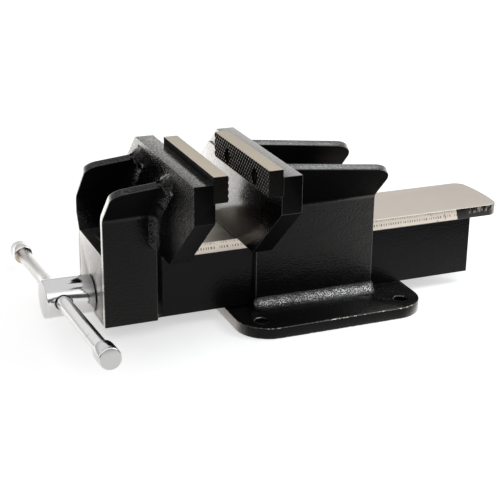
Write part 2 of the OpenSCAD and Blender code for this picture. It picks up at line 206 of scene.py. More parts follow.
class ViseWelds(bpy.types.PropertyGroup):
    """Size and roughness of the weld beads."""

    base_leg: length_option("Base weld", "Leg of the weld on the base plate", 11 * MM)
    jaw_leg: length_option("Jaw weld", "Leg of the weld on the moving jaw", 11 * MM)
    edge_leg: length_option("Edge weld", "Leg of the weld beside the slide", 6 * MM)
    ripple: length_option("Ripple", "Height of the lumps on a bead", 0.4 * MM)
    seed: IntProperty(name="Seed", description="Seed of the lumps", default=7)


class ViseTeeth(bpy.types.PropertyGroup):
    """Teeth of the jaw inserts."""

    pitch: length_option("Pitch", "Distance between teeth along a row", 5.4 * MM)
    row: length_option("Row", "Distance between rows of teeth", 6.9 * MM)
    depth: length_option("Depth", "Depth of the grooves between the teeth", 0.9 * MM)
    fineness: IntProperty(name="Fineness", description="Faces from one tooth to the next", default=8)


# Node expressions

def maths(operation, reflected=False):
    """Method of a wire that adds a Math node."""
    def method(wire, value=0.0):
        first, second = (value, wire) if reflected else (wire, value)
        return wire.nodes.add("ShaderNodeMath", {"operation": operation}, {0: first, 1: second})
    return method


class Wire:
    """A socket that takes part in Python expressions. Each one adds a Math node."""

    __add__ = maths("ADD")
    __radd__ = maths("ADD", True)
    __sub__ = maths("SUBTRACT")
    __rsub__ = maths("SUBTRACT", True)
    __mul__ = maths("MULTIPLY")
    __rmul__ = maths("MULTIPLY", True)
    __truediv__ = maths("DIVIDE")
    __rtruediv__ = maths("DIVIDE", True)
    __pow__ = maths("POWER")
    __rpow__ = maths("POWER", True)
    __abs__ = maths("ABSOLUTE")
    __round__ = maths("ROUND")
    sign = maths("SIGN")
    fraction = maths("FRACT")
    least = maths("MINIMUM")
    most = maths("MAXIMUM")
    below = maths("LESS_THAN")

    def __init__(self, nodes, socket):
        self.nodes = nodes
        self.socket = socket

    def __neg__(self):
        return self * -1

    def other(self, output):
        """Another output of the same node."""
        return Wire(self.nodes, self.socket.node.outputs[output])

    def part(self, axis):
        """Part of a vector along an axis."""
        return self.nodes.add("ShaderNodeSeparateXYZ", {}, {0: self}, axis)

    def rise(self, start, end):
        """Smooth step from 0 at start to 1 at end."""
        return self.nodes.add(
            "ShaderNodeMapRange", {"interpolation_type": "SMOOTHSTEP"},
            {"Value": self, "From Min": start, "From Max": end})

    def fall(self, start, end):
        """Smooth step from 1 at start to 0 at end."""
        return 1 - self.rise(start, end)

    def between(self, low, high):
        """Number from low, where the wire is 0, to high, where it is 1."""
        return self * (high - low) + low


class Nodes:
    """A node tree that is filled by calls."""

    def __init__(self, tree):
        self.tree = tree

    def add(self, kind, settings=None, inputs=None, output=0):
        """Adds a node, with its settings first and then its sockets, and returns one output.

        A socket takes a value, a wire or a list of wires, and a colour is given as three levels.
        """
        node = self.tree.nodes.new(kind)
        for key, value in (settings or {}).items():
            setattr(node, key, value)
        for key, value in (inputs or {}).items():
            socket = node.inputs[key]
            for part in value if isinstance(value, list) else [value]:
                if isinstance(part, Wire):
                    self.tree.links.new(part.socket, socket)
                elif socket.type == "RGBA":
                    socket.default_value = (*part, 1.0)
                else:
                    socket.default_value = part
        return Wire(self, node.outputs[output]) if node.outputs else node


class Finish(Nodes):
    """The tree of a material or of the world."""

    def __init__(self, owner):
        owner.use_nodes = True
        super().__init__(owner.node_tree)
        self.owner = owner
        self.options = bpy.context.scene.vise_finish
        self.tree.nodes.clear()

    def place(self):
        """Object coordinates, in metres."""
        return self.add("ShaderNodeTexCoord", output="Object")

    def stretched(self, place, scale):
        """Coordinates multiplied by a scale for each axis."""
        return self.add("ShaderNodeVectorMath", {"operation": "MULTIPLY"}, {0: place, 1: scale})

    def outward(self, axis):
        """Part of the surface's own normal along an axis, from -1 to 1."""
        return self.add("ShaderNodeNewGeometry", output="Normal").part(axis)

    def grain(self, place, size, detail=2.0, roughness=0.5, scale=None):
        """Noise whose grains have about the given size in metres, longer where scale is small."""
        if scale:
            place = self.stretched(place, scale)
        return self.add(
            "ShaderNodeTexNoise", {},
            {"Vector": place, "Scale": 1 / size, "Detail": detail, "Roughness": roughness}, "Fac")

    def lines(self, place, width, axis, scale):
        """Fine lines of the given width along an axis, longer where scale is small."""
        scales = tuple(scale if name == axis else 1.0 for name in "XYZ")
        return self.grain(place, width, detail=3.0, roughness=0.7, scale=scales)

    def bump(self, height, depth):
        return self.add("ShaderNodeBump", {}, {"Height": height, "Distance": depth, "Strength": 1.0})

    def blend(self, factor, first, second):
        """Colour between two colours."""
        return self.add(
            "ShaderNodeMix", {"data_type": "RGBA"}, {0: factor, 6: first, 7: second}, 2)

    def shader(self, **sockets):
        """Principled shader. Underscores in a socket's name stand for spaces."""
        inputs = {name.replace("_", " ").replace("Ior", "IOR"): value for name, value in sockets.items()}
        return self.add("ShaderNodeBsdfPrincipled", {}, inputs)

    def metal(self, colour, roughness, height, depth):
        """Bare metal with a fine relief."""
        normal = self.bump(height, depth)
        return self.shader(Base_Color=colour, Metallic=1.0, Roughness=roughness, Normal=normal)

    def either(self, factor, first, second):
        """Mix of two shaders."""
        return self.add("ShaderNodeMixShader", {}, {0: factor, 1: first, 2: second})

    def rays(self):
        """Masks of the camera's own rays, and of those that were mirrored or let through."""
        camera = self.add("ShaderNodeLightPath", output="Is Camera Ray")
        return camera, camera.other("Is Glossy Ray").most(camera.other("Is Transmission Ray"))

    def surface(self, shader):
        self.add("ShaderNodeOutputMaterial", {}, {"Surface": shader})
        return self.owner


def finish_named(name, maker, **values):
    """Material of that name, made the first time it is asked for.

    The maker gets an empty finish and its coordinates, and returns the surface's shader.
    """
    material = bpy.data.materials.get(name)
    if material:
        return material
    finish = Finish(bpy.data.materials.new(name))
    return finish.surface(maker(finish, finish.place(), **values))


# Finishes

def glossy_black(
        finish, normal, roughness, level=0.15, gleam=None, mirror_scale=None, sparkle=None, dull_and_shaded_below=True):
    """Black gloss paint, which mirrors its surroundings at a low angle, with a painted sheen that makes
    faces towards the front mirror more.

    What it mirrors is multiplied by the given scale, and sparkle adds to it. Unless told otherwise, it
    turns flat black where it faces down, which paints shade under things, and it mirrors little where it
    is itself seen in another piece.
    """
    options = finish.options
    facing = finish.add("ShaderNodeLayerWeight", {}, {"Blend": 0.5, "Normal": normal}, "Facing")
    # Painted sheen: faces that look towards the front mirror more
    front = (-finish.outward("X")).rise(*FACES_FRONT)
    share = facing ** (gleam or options.gleam) * (front * options.painted_front_sheen + 1)
    if mirror_scale:
        share = share * mirror_scale
    if sparkle:
        share = share + sparkle
    if dull_and_shaded_below:
        share = share * (1 - finish.add("ShaderNodeLightPath", output="Is Glossy Ray"))
    body = finish.shader(
        Base_Color=options.paint, Roughness=roughness, Specular_Ior_Level=level, Normal=normal)
    mirror = finish.shader(Base_Color=MIRRORED, Metallic=1.0, Roughness=roughness, Normal=normal)
    gloss = finish.either(share.least(1.0), body, mirror)
    if not dull_and_shaded_below:
        return gloss
    # Painted shade: faces that look down become flat black that mirrors almost nothing
    matt = finish.shader(
        Base_Color=options.paint, Roughness=0.5, Specular_Ior_Level=0.02, Normal=normal)
    return finish.either((-finish.outward("Z")).rise(*FACES_DOWN), gloss, matt)


def paint_on_plate(
        finish, place, grain=1.9 * MM, depth=0.4 * MM, scale=(0.6, 1.0, 1.0), gleam=None):
    """Thick gloss paint on rolled plate, with fine wrinkles along the plate."""
    place = finish.stretched(place, scale)
    wrinkle = finish.grain(place, grain, detail=3.0, roughness=0.55)
    swell = finish.grain(place, 7 * grain, detail=1.0)
    normal = finish.bump(wrinkle + swell * 0.8, depth)
    roughness = finish.grain(place, 5 * grain).between(0.14, 0.26)
    return glossy_black(finish, normal, roughness, level=0.12, gleam=gleam)


def paint_on_end(finish, place):
    """Thin gloss paint on the slide's front end, bright at a low angle."""
    wrinkle = finish.grain(place, 2.2 * MM, detail=4.0, roughness=0.65)
    mirror_scale = finish.lines(place, 1.6 * MM, "Z", 0.35).between(0.22, 0.82)
    normal = finish.bump(wrinkle, 0.12 * MM)
    return glossy_black(finish, normal, roughness=0.36, mirror_scale=mirror_scale, dull_and_shaded_below=False)


# Heights on a jaw plate between which a painted shade takes its mirror away towards the foot, and dims it
# a little at the top
JAW_FOOT = (100 * MM, 135 * MM)
JAW_BROW = (150 * MM, 180 * MM)
# Where a jaw plate's near part ends, in coordinates that are drawn out along the jaw
JAW_STRETCH = (1.0, 0.6, 1.0)
JAW_NEAR = (-90 * MM, -30 * MM)


def paint_on_jaw(finish, place, coarse):
    """Gloss paint over a grainy surface, smoother on the jaw's ends, with a painted shade that takes its
    mirror away lower down and a painted highlight on its top faces.
    """
    place = finish.stretched(place, JAW_STRETCH)
    end = abs(finish.outward("Y"))
    top = finish.outward("Z").rise(*FACES_UP)
    up = place.part("Z")
    lumps = finish.grain(place, 3.0 * MM, roughness=0.6)
    fine = finish.grain(place, 1.2 * MM)
    near = up.other("Y").fall(*JAW_NEAR) * (1 - top)
    calm = (1 - end * 0.9) * (1 - top * 0.5) * (near * 2 + 1)
    normal = finish.bump((lumps * 0.6 + fine * 0.6) * calm, coarse * (0.5 * MM))
    # Specks of extra mirror, doubled at the near end as painted glints there
    specks = fine.rise(0.45, 0.66) * (near + 1)
    mirror_scale = specks * (0.15 + coarse * 0.6) + (0.8 - coarse * 0.3)
    # Painted shade: less mirror towards the jaw's foot, a little along its top edge and at the near end,
    # and a painted highlight that raises the mirror on the top faces
    side = up.rise(*JAW_FOOT).between(0.12, 1.0)
    side = side * (1 - up.rise(*JAW_BROW) * 0.2) * (1.1 - coarse * 0.5)
    side = side * (1 - near * (coarse * 0.4))
    mirror_scale = mirror_scale * (top * (2.3 - coarse * 0.5 - side) + side)
    roughness = lumps.between(0.08, 0.18)
    return glossy_black(finish, normal, roughness, level=0.04, gleam=3.7, mirror_scale=mirror_scale)


def paint_on_edge(finish, place, wear=0.5):
    """Paint that is scuffed through in places along an edge."""
    normal = finish.bump(finish.grain(place, 1.6 * MM), 0.35 * MM)
    start = 0.68 - wear * 0.16
    scuff = finish.grain(place, 5 * MM, detail=5.0, roughness=0.75).rise(start, start + 0.1)
    black = glossy_black(finish, normal, roughness=0.14, level=0.6)
    bare = finish.shader(Base_Color=SCUFFED_STEEL, Metallic=1.0, Roughness=0.38, Normal=normal)
    return finish.either(scuff * wear, black, bare)


def paint_on_weld(finish, place, grain, depth, level, sparkle, gleam=None, crown=False):
    """Gloss paint run over a bead, with a fine sparkle, which can keep to the bead's crown as a painted
    highlight.
    """
    beads = finish.grain(place, grain, roughness=0.6)
    fine = finish.grain(place, 0.6 * grain, detail=1.0, scale=(0.7, 1.0, 1.0))
    patches = finish.grain(place, 14 * MM).rise(0.34, 0.58)
    normal = finish.bump(beads * 0.7 + fine * 0.3, depth)
    glints = fine.rise(0.47, 0.62) * patches.between(0.4, 1.0) * sparkle
    # Painted highlight: the sparkle is kept to where the bead faces partly up
    if crown:
        up = finish.outward("Z")
        glints = glints * up.rise(*CROWN_START) * up.fall(*CROWN_END)
    return glossy_black(finish, normal, roughness=0.12, level=level, gleam=gleam, sparkle=glints)


# Step of the cutter's marks on the bar's near edge, and the shares of the edge's height between
# which each row of them begins and ends
CUTTER_STEP = 3.1 * MM
LOWER_ROW = ((0.30, 0.36), (0.50, 0.58))
UPPER_ROW = ((0.76, 0.80), (0.90, 0.95))
# How far the paint at the bar's ends takes to give way, and how far its edge strays
PAINT_FADE = 1 * MM
PAINT_STRAY = 3 * MM
# Distances past the start of the rear paint between which rubbing sets in, and the blotches' start
RUBBED = (10 * MM, 16 * MM)
BLOTCH_START = -60 * MM


def machined_bar(finish, place, paint_end, bare_end, bottom, top):
    """Machined top and edges of the slide's bar, painted at its front and its rear end."""
    along = place.part("X")
    up = along.other("Z")
    share = (up - bottom) / (top - bottom)
    ragged = finish.grain(place, 4 * MM, detail=3.0) * PAINT_STRAY
    # Lines left by the cutter, along the bar
    lines = finish.lines(place, 0.6 * MM, "X", 0.03)
    clouds = finish.grain(place, 22 * MM, detail=3.0)
    # Rows of short marks along the near edge, and dark blotches towards the rear
    upright = abs(finish.outward("Z")).fall(*LIES_FLAT)
    strip = (-along.other("Y")).rise(0.0, 0.1 * MM) * upright
    wander = finish.grain(place, 9 * MM, scale=(1.0, 0.0, 0.3))
    marks = (along / CUTTER_STEP + share * 0.8 + wander * 2).fraction()
    lower, upper = (share.rise(*start) * share.fall(*end) for start, end in (LOWER_ROW, UPPER_ROW))
    dashes = marks.fall(0.25, 0.45) * (lower + upper * 0.55) * wander.rise(0.36, 0.52)
    blotches = finish.grain(place, 5 * MM, detail=4.0, roughness=0.7).rise(0.60, 0.70)
    blotches = blotches * along.rise(BLOTCH_START, bare_end)
    stain = ((dashes + blotches * 0.8) * strip).least(1.0)
    steel = finish.blend(clouds * 0.35 + lines * 0.25, finish.options.machined, CLOUDED_STEEL)
    steel = finish.blend(stain * 0.9, steel, CUTTER_STAIN)
    normal = finish.bump(lines, 0.02 * MM)
    bare = finish.shader(
        Base_Color=steel, Metallic=1 - stain * 0.7, Roughness=lines.between(0.36, 0.48), Normal=normal)
    # Paint over the front and the rear end, rubbed off near the end's top, and below
    front = (along + ragged).fall(paint_end, paint_end + PAINT_FADE)
    rear = along + ragged * 0.4 + share * PAINT_STRAY
    rear = rear.rise(bare_end, bare_end + PAINT_FADE) * upright
    worn = finish.lines(place, 3 * MM, "Z", 0.4).rise(0.46, 0.58)
    worn = worn * share.rise(0.3, 0.6) * along.rise(*(bare_end + past for past in RUBBED))
    below = up.fall(bottom + 0.2 * MM, bottom + 0.4 * MM)
    painted = front.most(rear * (1 - worn * 0.4)).most(below)
    wrinkle = finish.bump(finish.grain(place, 2 * MM), 0.2 * MM)
    return finish.either(painted, bare, glossy_black(finish, wrinkle, roughness=0.2))


def ground_steel(finish, place):
    """Ground tops of the inserts, with fine lines along the jaw."""
    lines = finish.lines(place, 0.5 * MM, "Y", 0.04)
    clouds = finish.grain(place, 12 * MM, detail=3.0)
    colour = finish.blend(clouds * 0.5 + lines * 0.3, finish.options.ground, GROUND_SHADE)
    return finish.metal(colour, lines.between(0.38, 0.53), lines, 0.02 * MM)


def blackened_steel(finish, place):
    """Blackened faces of the inserts, rough and slightly brown."""
    lumps = finish.grain(place, 1.8 * MM, detail=3.0, roughness=0.6)
    colour = finish.blend(lumps.rise(0.4, 0.75) * 0.5, finish.options.blackened, BROWNED_STEEL)
    normal = finish.bump(lumps, 0.3 * MM)
    return finish.shader(
        Base_Color=colour, Roughness=lumps.between(0.3, 0.5), Specular_Ior_Level=0.04, Normal=normal)


def tooth_steel(finish, place):
    """Serrated faces of the inserts: black in the grooves, rubbed brighter on the teeth."""
    groove = finish.add("ShaderNodeAttribute", {"attribute_name": "groove"}, {}, "Fac")
    rubbed = finish.grain(place, 3 * MM, detail=3.0)
    colour = finish.blend(rubbed, TOOTH_DARK, TOOTH_BRIGHT)
    colour = finish.blend(groove.rise(0.0, 0.5), colour, GROOVE_BLACK)
    normal = finish.bump(finish.grain(place, 0.8 * MM), 0.08 * MM)
    return finish.shader(
        Base_Color=colour, Metallic=0.85, Roughness=rubbed.between(0.34, 0.49), Normal=normal)


# Distances past a knob's seam and past a hole's edge between which the stain at the seam, and the painted
# shadow round the hole, fade
SEAM_RING = (1.5 * MM, 3.5 * MM)
HOLE_RIM = (0.7 * MM, 1.3 * MM)


def chrome(finish, place, axis, roughness, seam=None, hole=None):
    """Bright plating with faint polishing lines along the given axis, and a painted shade that darkens its
    end faces.

    Seam is the Y up to which it is stained, and hole the centre and radius of the handle's hole, round
    which a painted shadow follows the handle's axis.
    """
    lines = finish.lines(place, 0.7 * MM, axis, 0.06)
    haze = finish.grain(place, 14 * MM, detail=3.0)
    colour = finish.blend(haze.rise(0.5, 0.8) * 0.5, finish.options.chrome, CHROME_HAZE)
    # Painted shade: faces that look along the axis are darkened
    ends = abs(finish.outward(axis)).rise(*FACES_END)
    colour = finish.blend(ends, colour, CHROME_END_SHADE)
    if seam:
        along = abs(place.part("Y")) + haze * (1.5 * MM)
        ring = along.fall(*(seam + past for past in SEAM_RING))
        colour = finish.blend(ring * 0.7, colour, SEAM_STAIN)
    if hole:
        centre, radius = hole
        along = place.part("X")
        level = (along.other("Z") - centre.z) * math.cos(HANDLE_TILT)
        level = level - along.other("Y") * math.sin(HANDLE_TILT)
        distance = ((along - centre.x) ** 2 + level ** 2) ** 0.5
        # Painted shadow: the hole's wall and a ring round it are darkened
        rim = distance.fall(*(radius + past for past in HOLE_RIM))
        colour = finish.blend(rim * 0.97, colour, HOLE_SHADOW)
    return finish.metal(colour, haze.between(roughness, roughness + 0.09), lines, 0.012 * MM)


def plated_bar(finish, place):
    """Plating on the handle's bar, brushed along its length and slightly stained."""
    lines = finish.lines(place, 0.7 * MM, "Y", 0.02)
    haze = finish.grain(place, 16 * MM, detail=4.0)
    stain = finish.grain(place, 9 * MM, detail=5.0, roughness=0.7).rise(0.58, 0.72)
    colour = finish.blend(haze * 0.5, PLATED_BRIGHT, PLATED_HAZE)
    colour = finish.blend(stain * 0.7, colour, PLATED_STAIN)
    return finish.metal(colour, lines.between(0.18, 0.30), lines, 0.03 * MM)


def dark_steel(finish, place, colour):
    """Oiled dark steel with turning lines."""
    lines = finish.grain(place, 0.8 * MM, detail=3.0, scale=(1.0, 0.08, 0.08))
    oil = finish.grain(place, 8 * MM, detail=4.0)
    lighter = [2.2 * part for part in colour]
    tone = finish.blend(lines * 0.6 + oil * 0.3, colour, tuple(lighter))
    return finish.metal(tone, oil.between(0.28, 0.48), lines, 0.05 * MM)


def bearing_bronze(finish, place):
    """Bearing bronze with a dull, oily tarnish."""
    tarnish = finish.grain(place, 7 * MM, detail=4.0, roughness=0.6)
    lines = finish.grain(place, 0.8 * MM, scale=(0.05, 1.0, 1.0))
    colour = finish.blend(tarnish.rise(0.4, 0.75) * 0.7, finish.options.bronze, TARNISH)
    return finish.metal(colour, tarnish.between(0.28, 0.48), lines, 0.04 * MM)


# Mesh helpers

# Distance at which corners of a solid are one corner, and angles at which faces are one flat
# face, and at which an edge is sharp
MERGE = 0.002 * MM
FLAT_ANGLE = math.radians(0.5)
SHARP_ANGLE = math.radians(32)


def new_piece(name, mesh, materials):
    """Object at the origin with the given materials."""
    piece = bpy.data.objects.new(name, mesh)
    mesh.materials.clear()
    for material in materials:
        mesh.materials.append(material)
    bpy.context.scene.collection.objects.link(piece)
    return piece


def settle(piece, slot, *nodes):
    """The piece rides with the body of the first of the nodes it stands for, and the nodes are hidden. The
    slot is not used.
    """
    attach(piece, NODE_BODY[nodes[0]])
    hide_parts(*nodes)
    return piece


def merged_copy(node):
    """Copy of a node's mesh with its loose triangles joined and its flat faces whole."""
    mesh = bpy.data.meshes.new(node + "_skin")
    shape = bmesh.new()
    shape.from_mesh(frame["nodes"][node].data)
    bmesh.ops.remove_doubles(shape, verts=shape.verts, dist=MERGE)
    bmesh.ops.dissolve_limit(shape, angle_limit=FLAT_ANGLE, verts=shape.verts, edges=shape.edges)
    for face in shape.faces:
        face.smooth = True
    shape.to_mesh(mesh)
    shape.free()
    return mesh


def soften(piece, width, segments=3, edge_material=-1):
    """Rounds a piece's sharp edges."""
    bevel = piece.modifiers.new("soft_edges", "BEVEL")
    bevel.width = width
    bevel.segments = segments
    bevel.limit_method = "ANGLE"
    bevel.angle_limit = SHARP_ANGLE
    bevel.harden_normals = True
    bevel.material = edge_material


def dressed(node, slot, width, *materials):
    """Copy of a node with soft edges, in the node's place. A second material goes on the edges."""
    piece = new_piece(node + "_dressed", merged_copy(node), materials)
    soften(piece, width, edge_material=1 if len(materials) > 1 else -1)
    return settle(piece, slot, node)


def add_skin(shape, rings):
    """Adds faces from ring to ring and over both ends, which face outwards."""
    faces = []
    for before, after in zip(rings, rings[1:]):
        for step, corner in enumerate(before):
            nearby = (step + 1) % len(before)
            faces.append(shape.faces.new((corner, before[nearby], after[nearby], after[step])))
    faces.append(shape.faces.new(rings[0]))
    faces.append(shape.faces.new(list(reversed(rings[-1]))))
    bmesh.ops.recalc_face_normals(shape, faces=faces)


def lathe(profile, turns=64):
    """Closed shape of a profile of (distance along, radius) pairs, turned about X."""
    shape = bmesh.new()
    rings = []
    for along, radius in profile:
        ring = []
        for step in range(turns):
            angle = 2 * math.pi * step / turns
            ring.append(shape.verts.new((along, radius * math.cos(angle), radius * math.sin(angle))))
        rings.append(ring)
    add_skin(shape, rings)
    return shape


def mesh_from(shape, name, smooth_degrees):
    """Mesh of a bmesh, smooth except where its faces meet at more than the given angle."""
    mesh = bpy.data.meshes.new(name)
    for face in shape.faces:
        face.smooth = True
    shape.to_mesh(mesh)
    shape.free()
    mesh.set_sharp_from_angle(angle=math.radians(smooth_degrees))
    return mesh


def evaluated_mesh(piece, name):
    """Plain mesh of a piece with its modifiers applied, which are then removed."""
    graph = bpy.context.evaluated_depsgraph_get()
    mesh = bpy.data.meshes.new_from_object(piece.evaluated_get(graph))
    mesh.name = name
    piece.modifiers.clear()
    return mesh


# Weld beads

# Lumps on a bead: their sizes, and the shares of its ripple that they make up
COARSE_LUMP = 3.2 * MM
FINE_LUMP = 1.5 * MM
COARSE_SHARE = 0.6
FINE_SHARE = 0.4
SEED_STEP = (3.7, 1.3, 5.1)
# Stations over which a bead's lumps start and its legs grow at an end, and the legs' share there
LUMP_STATIONS = 3
TAPER_STATIONS = 6
END_LEG = 0.55
# Lengths over which a bead's legs wander on a straight corner and swell on a bent one, and how much
WANDER_LENGTH = 9 * MM
SWELL_LENGTH = 14 * MM
SWELL = 0.12
# Fullness of the beads against the weld's leg: on the base plate, up its side plates, on the jaw
BASE_FULLNESS = 1.4
PLATE_FULLNESS = 1.3
JAW_FULLNESS = 1.25
# How far the base beads run past the weld's ends
FRONT_RUN = 2 * MM
REAR_RUN = 3 * MM
# Share of a jaw bead's leg at its foot, and what each station adds to it
FOOT_LEG = 0.35
LEG_STEP = 0.07
# Bead over a plate's top edge: its spread past the edge and its leg along the slide, as shares of
# the leg, the share of a half wave that its ends leave out, and the power that rounds it
TOP_SPREAD = 0.8
TOP_FORWARD = 0.9
TOP_END = 0.08
TOP_ROUND = 0.6
FUSE_VOXEL = 0.6 * MM
BEAD_SMOOTH_DEGREES = 60
BEND_STEPS = 8
TOP_BEAD_STEPS = 36
FORWARD = Vector((-1, 0, 0))


def rough(point, size, seed):
    """Noise from about -1 to 1 with lumps of the given size."""
    return noise.noise(point / size + Vector([seed * step for step in SEED_STEP]))


def add_bead(shape, stations, ripple, seed, hollow, steps, bury=0.6 * MM):
    """Adds a bead that fills a corner along stations of (corner, side, side, leg, leg).

    Each side points along one of the two surfaces, away from the corner. Hollow is 0 for a bead
    whose face is drawn into the corner and 0.5 for a flat one.
    """
    rings = []
    last = len(stations) - 1
    for index, (corner, side_a, side_b, leg_a, leg_b) in enumerate(stations):
        ends = min(1.0, min(index, last - index) / LUMP_STATIONS)
        out = (side_a + side_b).normalized()
        start = corner + side_a * leg_a - side_b * bury
        stop = corner + side_b * leg_b - side_a * bury
        middle = corner + (side_a * leg_a + side_b * leg_b) * hollow
        ring = []
        for step in range(steps + 1):
            share = step / steps
            point = start * (1 - share) ** 2 + middle * (2 * share * (1 - share)) + stop * share ** 2
            lump = rough(point, COARSE_LUMP, seed) * COARSE_SHARE
            lump += rough(point, FINE_LUMP, seed + 1) * FINE_SHARE
            point = point + out * (ripple * lump * math.sin(math.pi * share) * ends)
            ring.append(shape.verts.new(point))
        ring.append(shape.verts.new(corner - (side_a + side_b) * bury))
        rings.append(ring)
    add_skin(shape, rings)


def straight_stations(start, end, side_a, side_b, legs, gap, wobble, seed):
    """Stations along a straight corner, with two legs that wander a little and taper at the ends."""
    count = max(8, round((end - start).length / gap))
    stations = []
    for step in range(count + 1):
        share = step / count
        corner = start.lerp(end, share)
        taper = END_LEG + (1 - END_LEG) * min(1.0, min(share, 1 - share) * count / TAPER_STATIONS)
        wander = 1 + wobble * rough(corner, WANDER_LENGTH, seed)
        stations.append((corner, side_a, side_b, legs[0] * taper * wander, legs[1] * taper * (2 - wander)))
    return stations


def plate_path(face, low, bend, run, outward, gap):
    """Points and normals up a moving plate's face, which looks to the near side or away from it.

    The face is given as its Y where the plate is upright, with the bend's height and run for
    the near face. Outward is -1 for the near face and 1 for the far face.
    """
    radius = BEND_RADIUS if outward < 0 else BEND_RADIUS + PLATE_THICK
    centre = Vector((0, face - radius, bend - BEND_INSET))
    path = []
    rise = centre.z - low
    count = max(2, round(rise / gap))
    for step in range(count):
        path.append((Vector((0, face, low + rise * step / count)), Vector((0, outward, 0))))
    for step in range(BEND_STEPS):
        angle = PLATE_LEAN * step / BEND_STEPS
        normal = Vector((0, math.cos(angle), math.sin(angle)))
        path.append((centre + normal * radius, normal * outward))
    foot = centre + PLATE_NORMAL * radius
    count = max(2, round(run / gap))
    for step in range(count + 1):
        path.append((foot + PLATE_SLOPE * (run * step / count), PLATE_NORMAL * outward))
    return path


# Geometry nodes

class Tree(Nodes):
    """Geometry node tree with named inputs, built by calls and set by socket identifier."""

    def __init__(self, name, lengths):
        super().__init__(bpy.data.node_groups.new(name, "GeometryNodeTree"))
        self.ids = {}
        sockets = {label: "NodeSocketFloat" for label in lengths}
        sockets["Material"] = "NodeSocketMaterial"
        for label, kind in sockets.items():
            socket = self.tree.interface.new_socket(label, in_out="INPUT", socket_type=kind)
            self.ids[label] = socket.identifier
        self.tree.interface.new_socket("Geometry", in_out="OUTPUT", socket_type="NodeSocketGeometry")
        self.start = self.tree.nodes.new("NodeGroupInput")
        self.end = self.tree.nodes.new("NodeGroupOutput")

    def input(self, label):
        return Wire(self, self.start.outputs[label])

    def position(self, axis):
        """Part of a point's position along an axis."""
        return self.add("GeometryNodeInputPosition").part(axis)

    def vector(self, x, y, z):
        return self.add("ShaderNodeCombineXYZ", {}, {0: x, 1: y, 2: z})

    def moved(self, geometry, offset, selection=None):
        """Geometry whose points are moved by an offset."""
        inputs = {"Geometry": geometry, "Offset": offset}
        if selection:
            inputs["Selection"] = selection
        return self.add("GeometryNodeSetPosition", {}, inputs)

    def placed(self, geometry, **place):
        """Geometry that is moved or turned as a whole."""
        return self.add("GeometryNodeTransform", {}, {"Geometry": geometry, **place})

    def closed(self, geometry):
        """Realizes the geometry, gives it its material and sends it out."""
        whole = self.add("GeometryNodeRealizeInstances", {}, {0: geometry})
        painted = self.add(
            "GeometryNodeSetMaterial", {}, {"Geometry": whole, "Material": self.input("Material")})
        self.tree.links.new(painted.socket, self.end.inputs[0])
        return self

    def mesh(self, name, values):
        """Plain mesh that the tree gives for these input values."""
        carrier = bpy.data.objects.new(name, bpy.data.meshes.new(name))
        bpy.context.scene.collection.objects.link(carrier)
        modifier = carrier.modifiers.new(name, "NODES")
        modifier.node_group = self.tree
        for label, value in values.items():
            modifier[self.ids[label]] = value
        bpy.context.view_layer.update()
        mesh = evaluated_mesh(carrier, name)
        bpy.data.objects.remove(carrier)
        return mesh


# Each side of a groove takes up one in this many parts of the distance between grooves
GROOVE_SLOPE = 3
# Points in each turn of the thread's ridge and round its core
TURN_POINTS = 28
CORE_POINTS = 48
# The ridge's widths at its foot and crest as shares of the lead, and its height as one of the depth
RIDGE_FOOT = 0.72
RIDGE_CREST = 0.4
RIDGE_HEIGHT = 1.1


def serration_tree(fineness):
    """Slab in the XY plane whose top is crossed by two sets of slanting grooves, with two holes."""
    tree = Tree("jaw_serration", (
        "Length", "Height", "Pitch", "Row", "Depth", "Skirt", "Hole Y", "Hole Z", "Hole Radius"))
    length = tree.input("Length")
    height = tree.input("Height")
    pitch = tree.input("Pitch")
    radius = tree.input("Hole Radius")
    skirt = tree.input("Skirt")
    columns = round(length / pitch)
    rows = round(height / tree.input("Row"))
    grid = tree.add("GeometryNodeMeshGrid", {}, {
        "Size X": length, "Size Y": height,
        "Vertices X": columns * fineness + 1, "Vertices Y": rows * fineness + 1})
    along = tree.position("X")
    up = along.other("Y")
    # Points near a hole's rim go to the rim, and the faces inside it are taken out
    sideways = abs(along) - tree.input("Hole Y")
    upwards = up - tree.input("Hole Z")
    distance = (sideways ** 2 + upwards ** 2) ** 0.5
    shift = radius / distance - 1
    to_rim = tree.vector(along.sign() * sideways * shift, upwards * shift, 0.0)
    grid = tree.moved(grid, to_rim, abs(distance - radius).below(pitch / fineness * 0.5))
    grid = tree.add("GeometryNodeDeleteGeometry", {"domain": "FACE"}, {
        "Geometry": grid, "Selection": distance.below(radius)})
    # Height of the top, as the distance from the nearest groove's line
    across = along / length * columns
    rise = up / height * rows
    lines = [0.5 - abs(slant.fraction() - 0.5) for slant in (across + rise, across - rise)]
    groove = 1 - (lines[0].least(lines[1]) * GROOVE_SLOPE).least(1.0)
    top = tree.moved(grid, tree.vector(0.0, 0.0, -(groove * tree.input("Depth"))))
    top = tree.add("GeometryNodeStoreNamedAttribute", {"data_type": "FLOAT", "domain": "POINT"}, {
        "Geometry": top, "Name": "groove", "Value": groove})
    # Walls down from every open edge, which has one face, to a flat back
    faces = tree.add("GeometryNodeInputMeshEdgeNeighbors")
    top = tree.add("GeometryNodeExtrudeMesh", {"mode": "EDGES"}, {
        "Mesh": top, "Selection": faces.below(1.5), "Offset": tree.vector(0.0, 0.0, -1.0),
        "Offset Scale": skirt})
    flat = tree.vector(0.0, 0.0, -tree.position("Z") - skirt)
    top = tree.moved(top, flat, top.other("Top"))
    back = tree.add("GeometryNodeFlipFaces", {}, {0: grid})
    back = tree.moved(back, tree.vector(0.0, 0.0, -skirt))
    slab = tree.add("GeometryNodeJoinGeometry", {}, {0: [top, back]})
    slab = tree.add("GeometryNodeMergeByDistance", {}, {"Geometry": slab, "Distance": TOUCH})
    return tree.closed(tree.placed(slab, Rotation=(math.pi / 2, 0.0, math.pi / 2)))


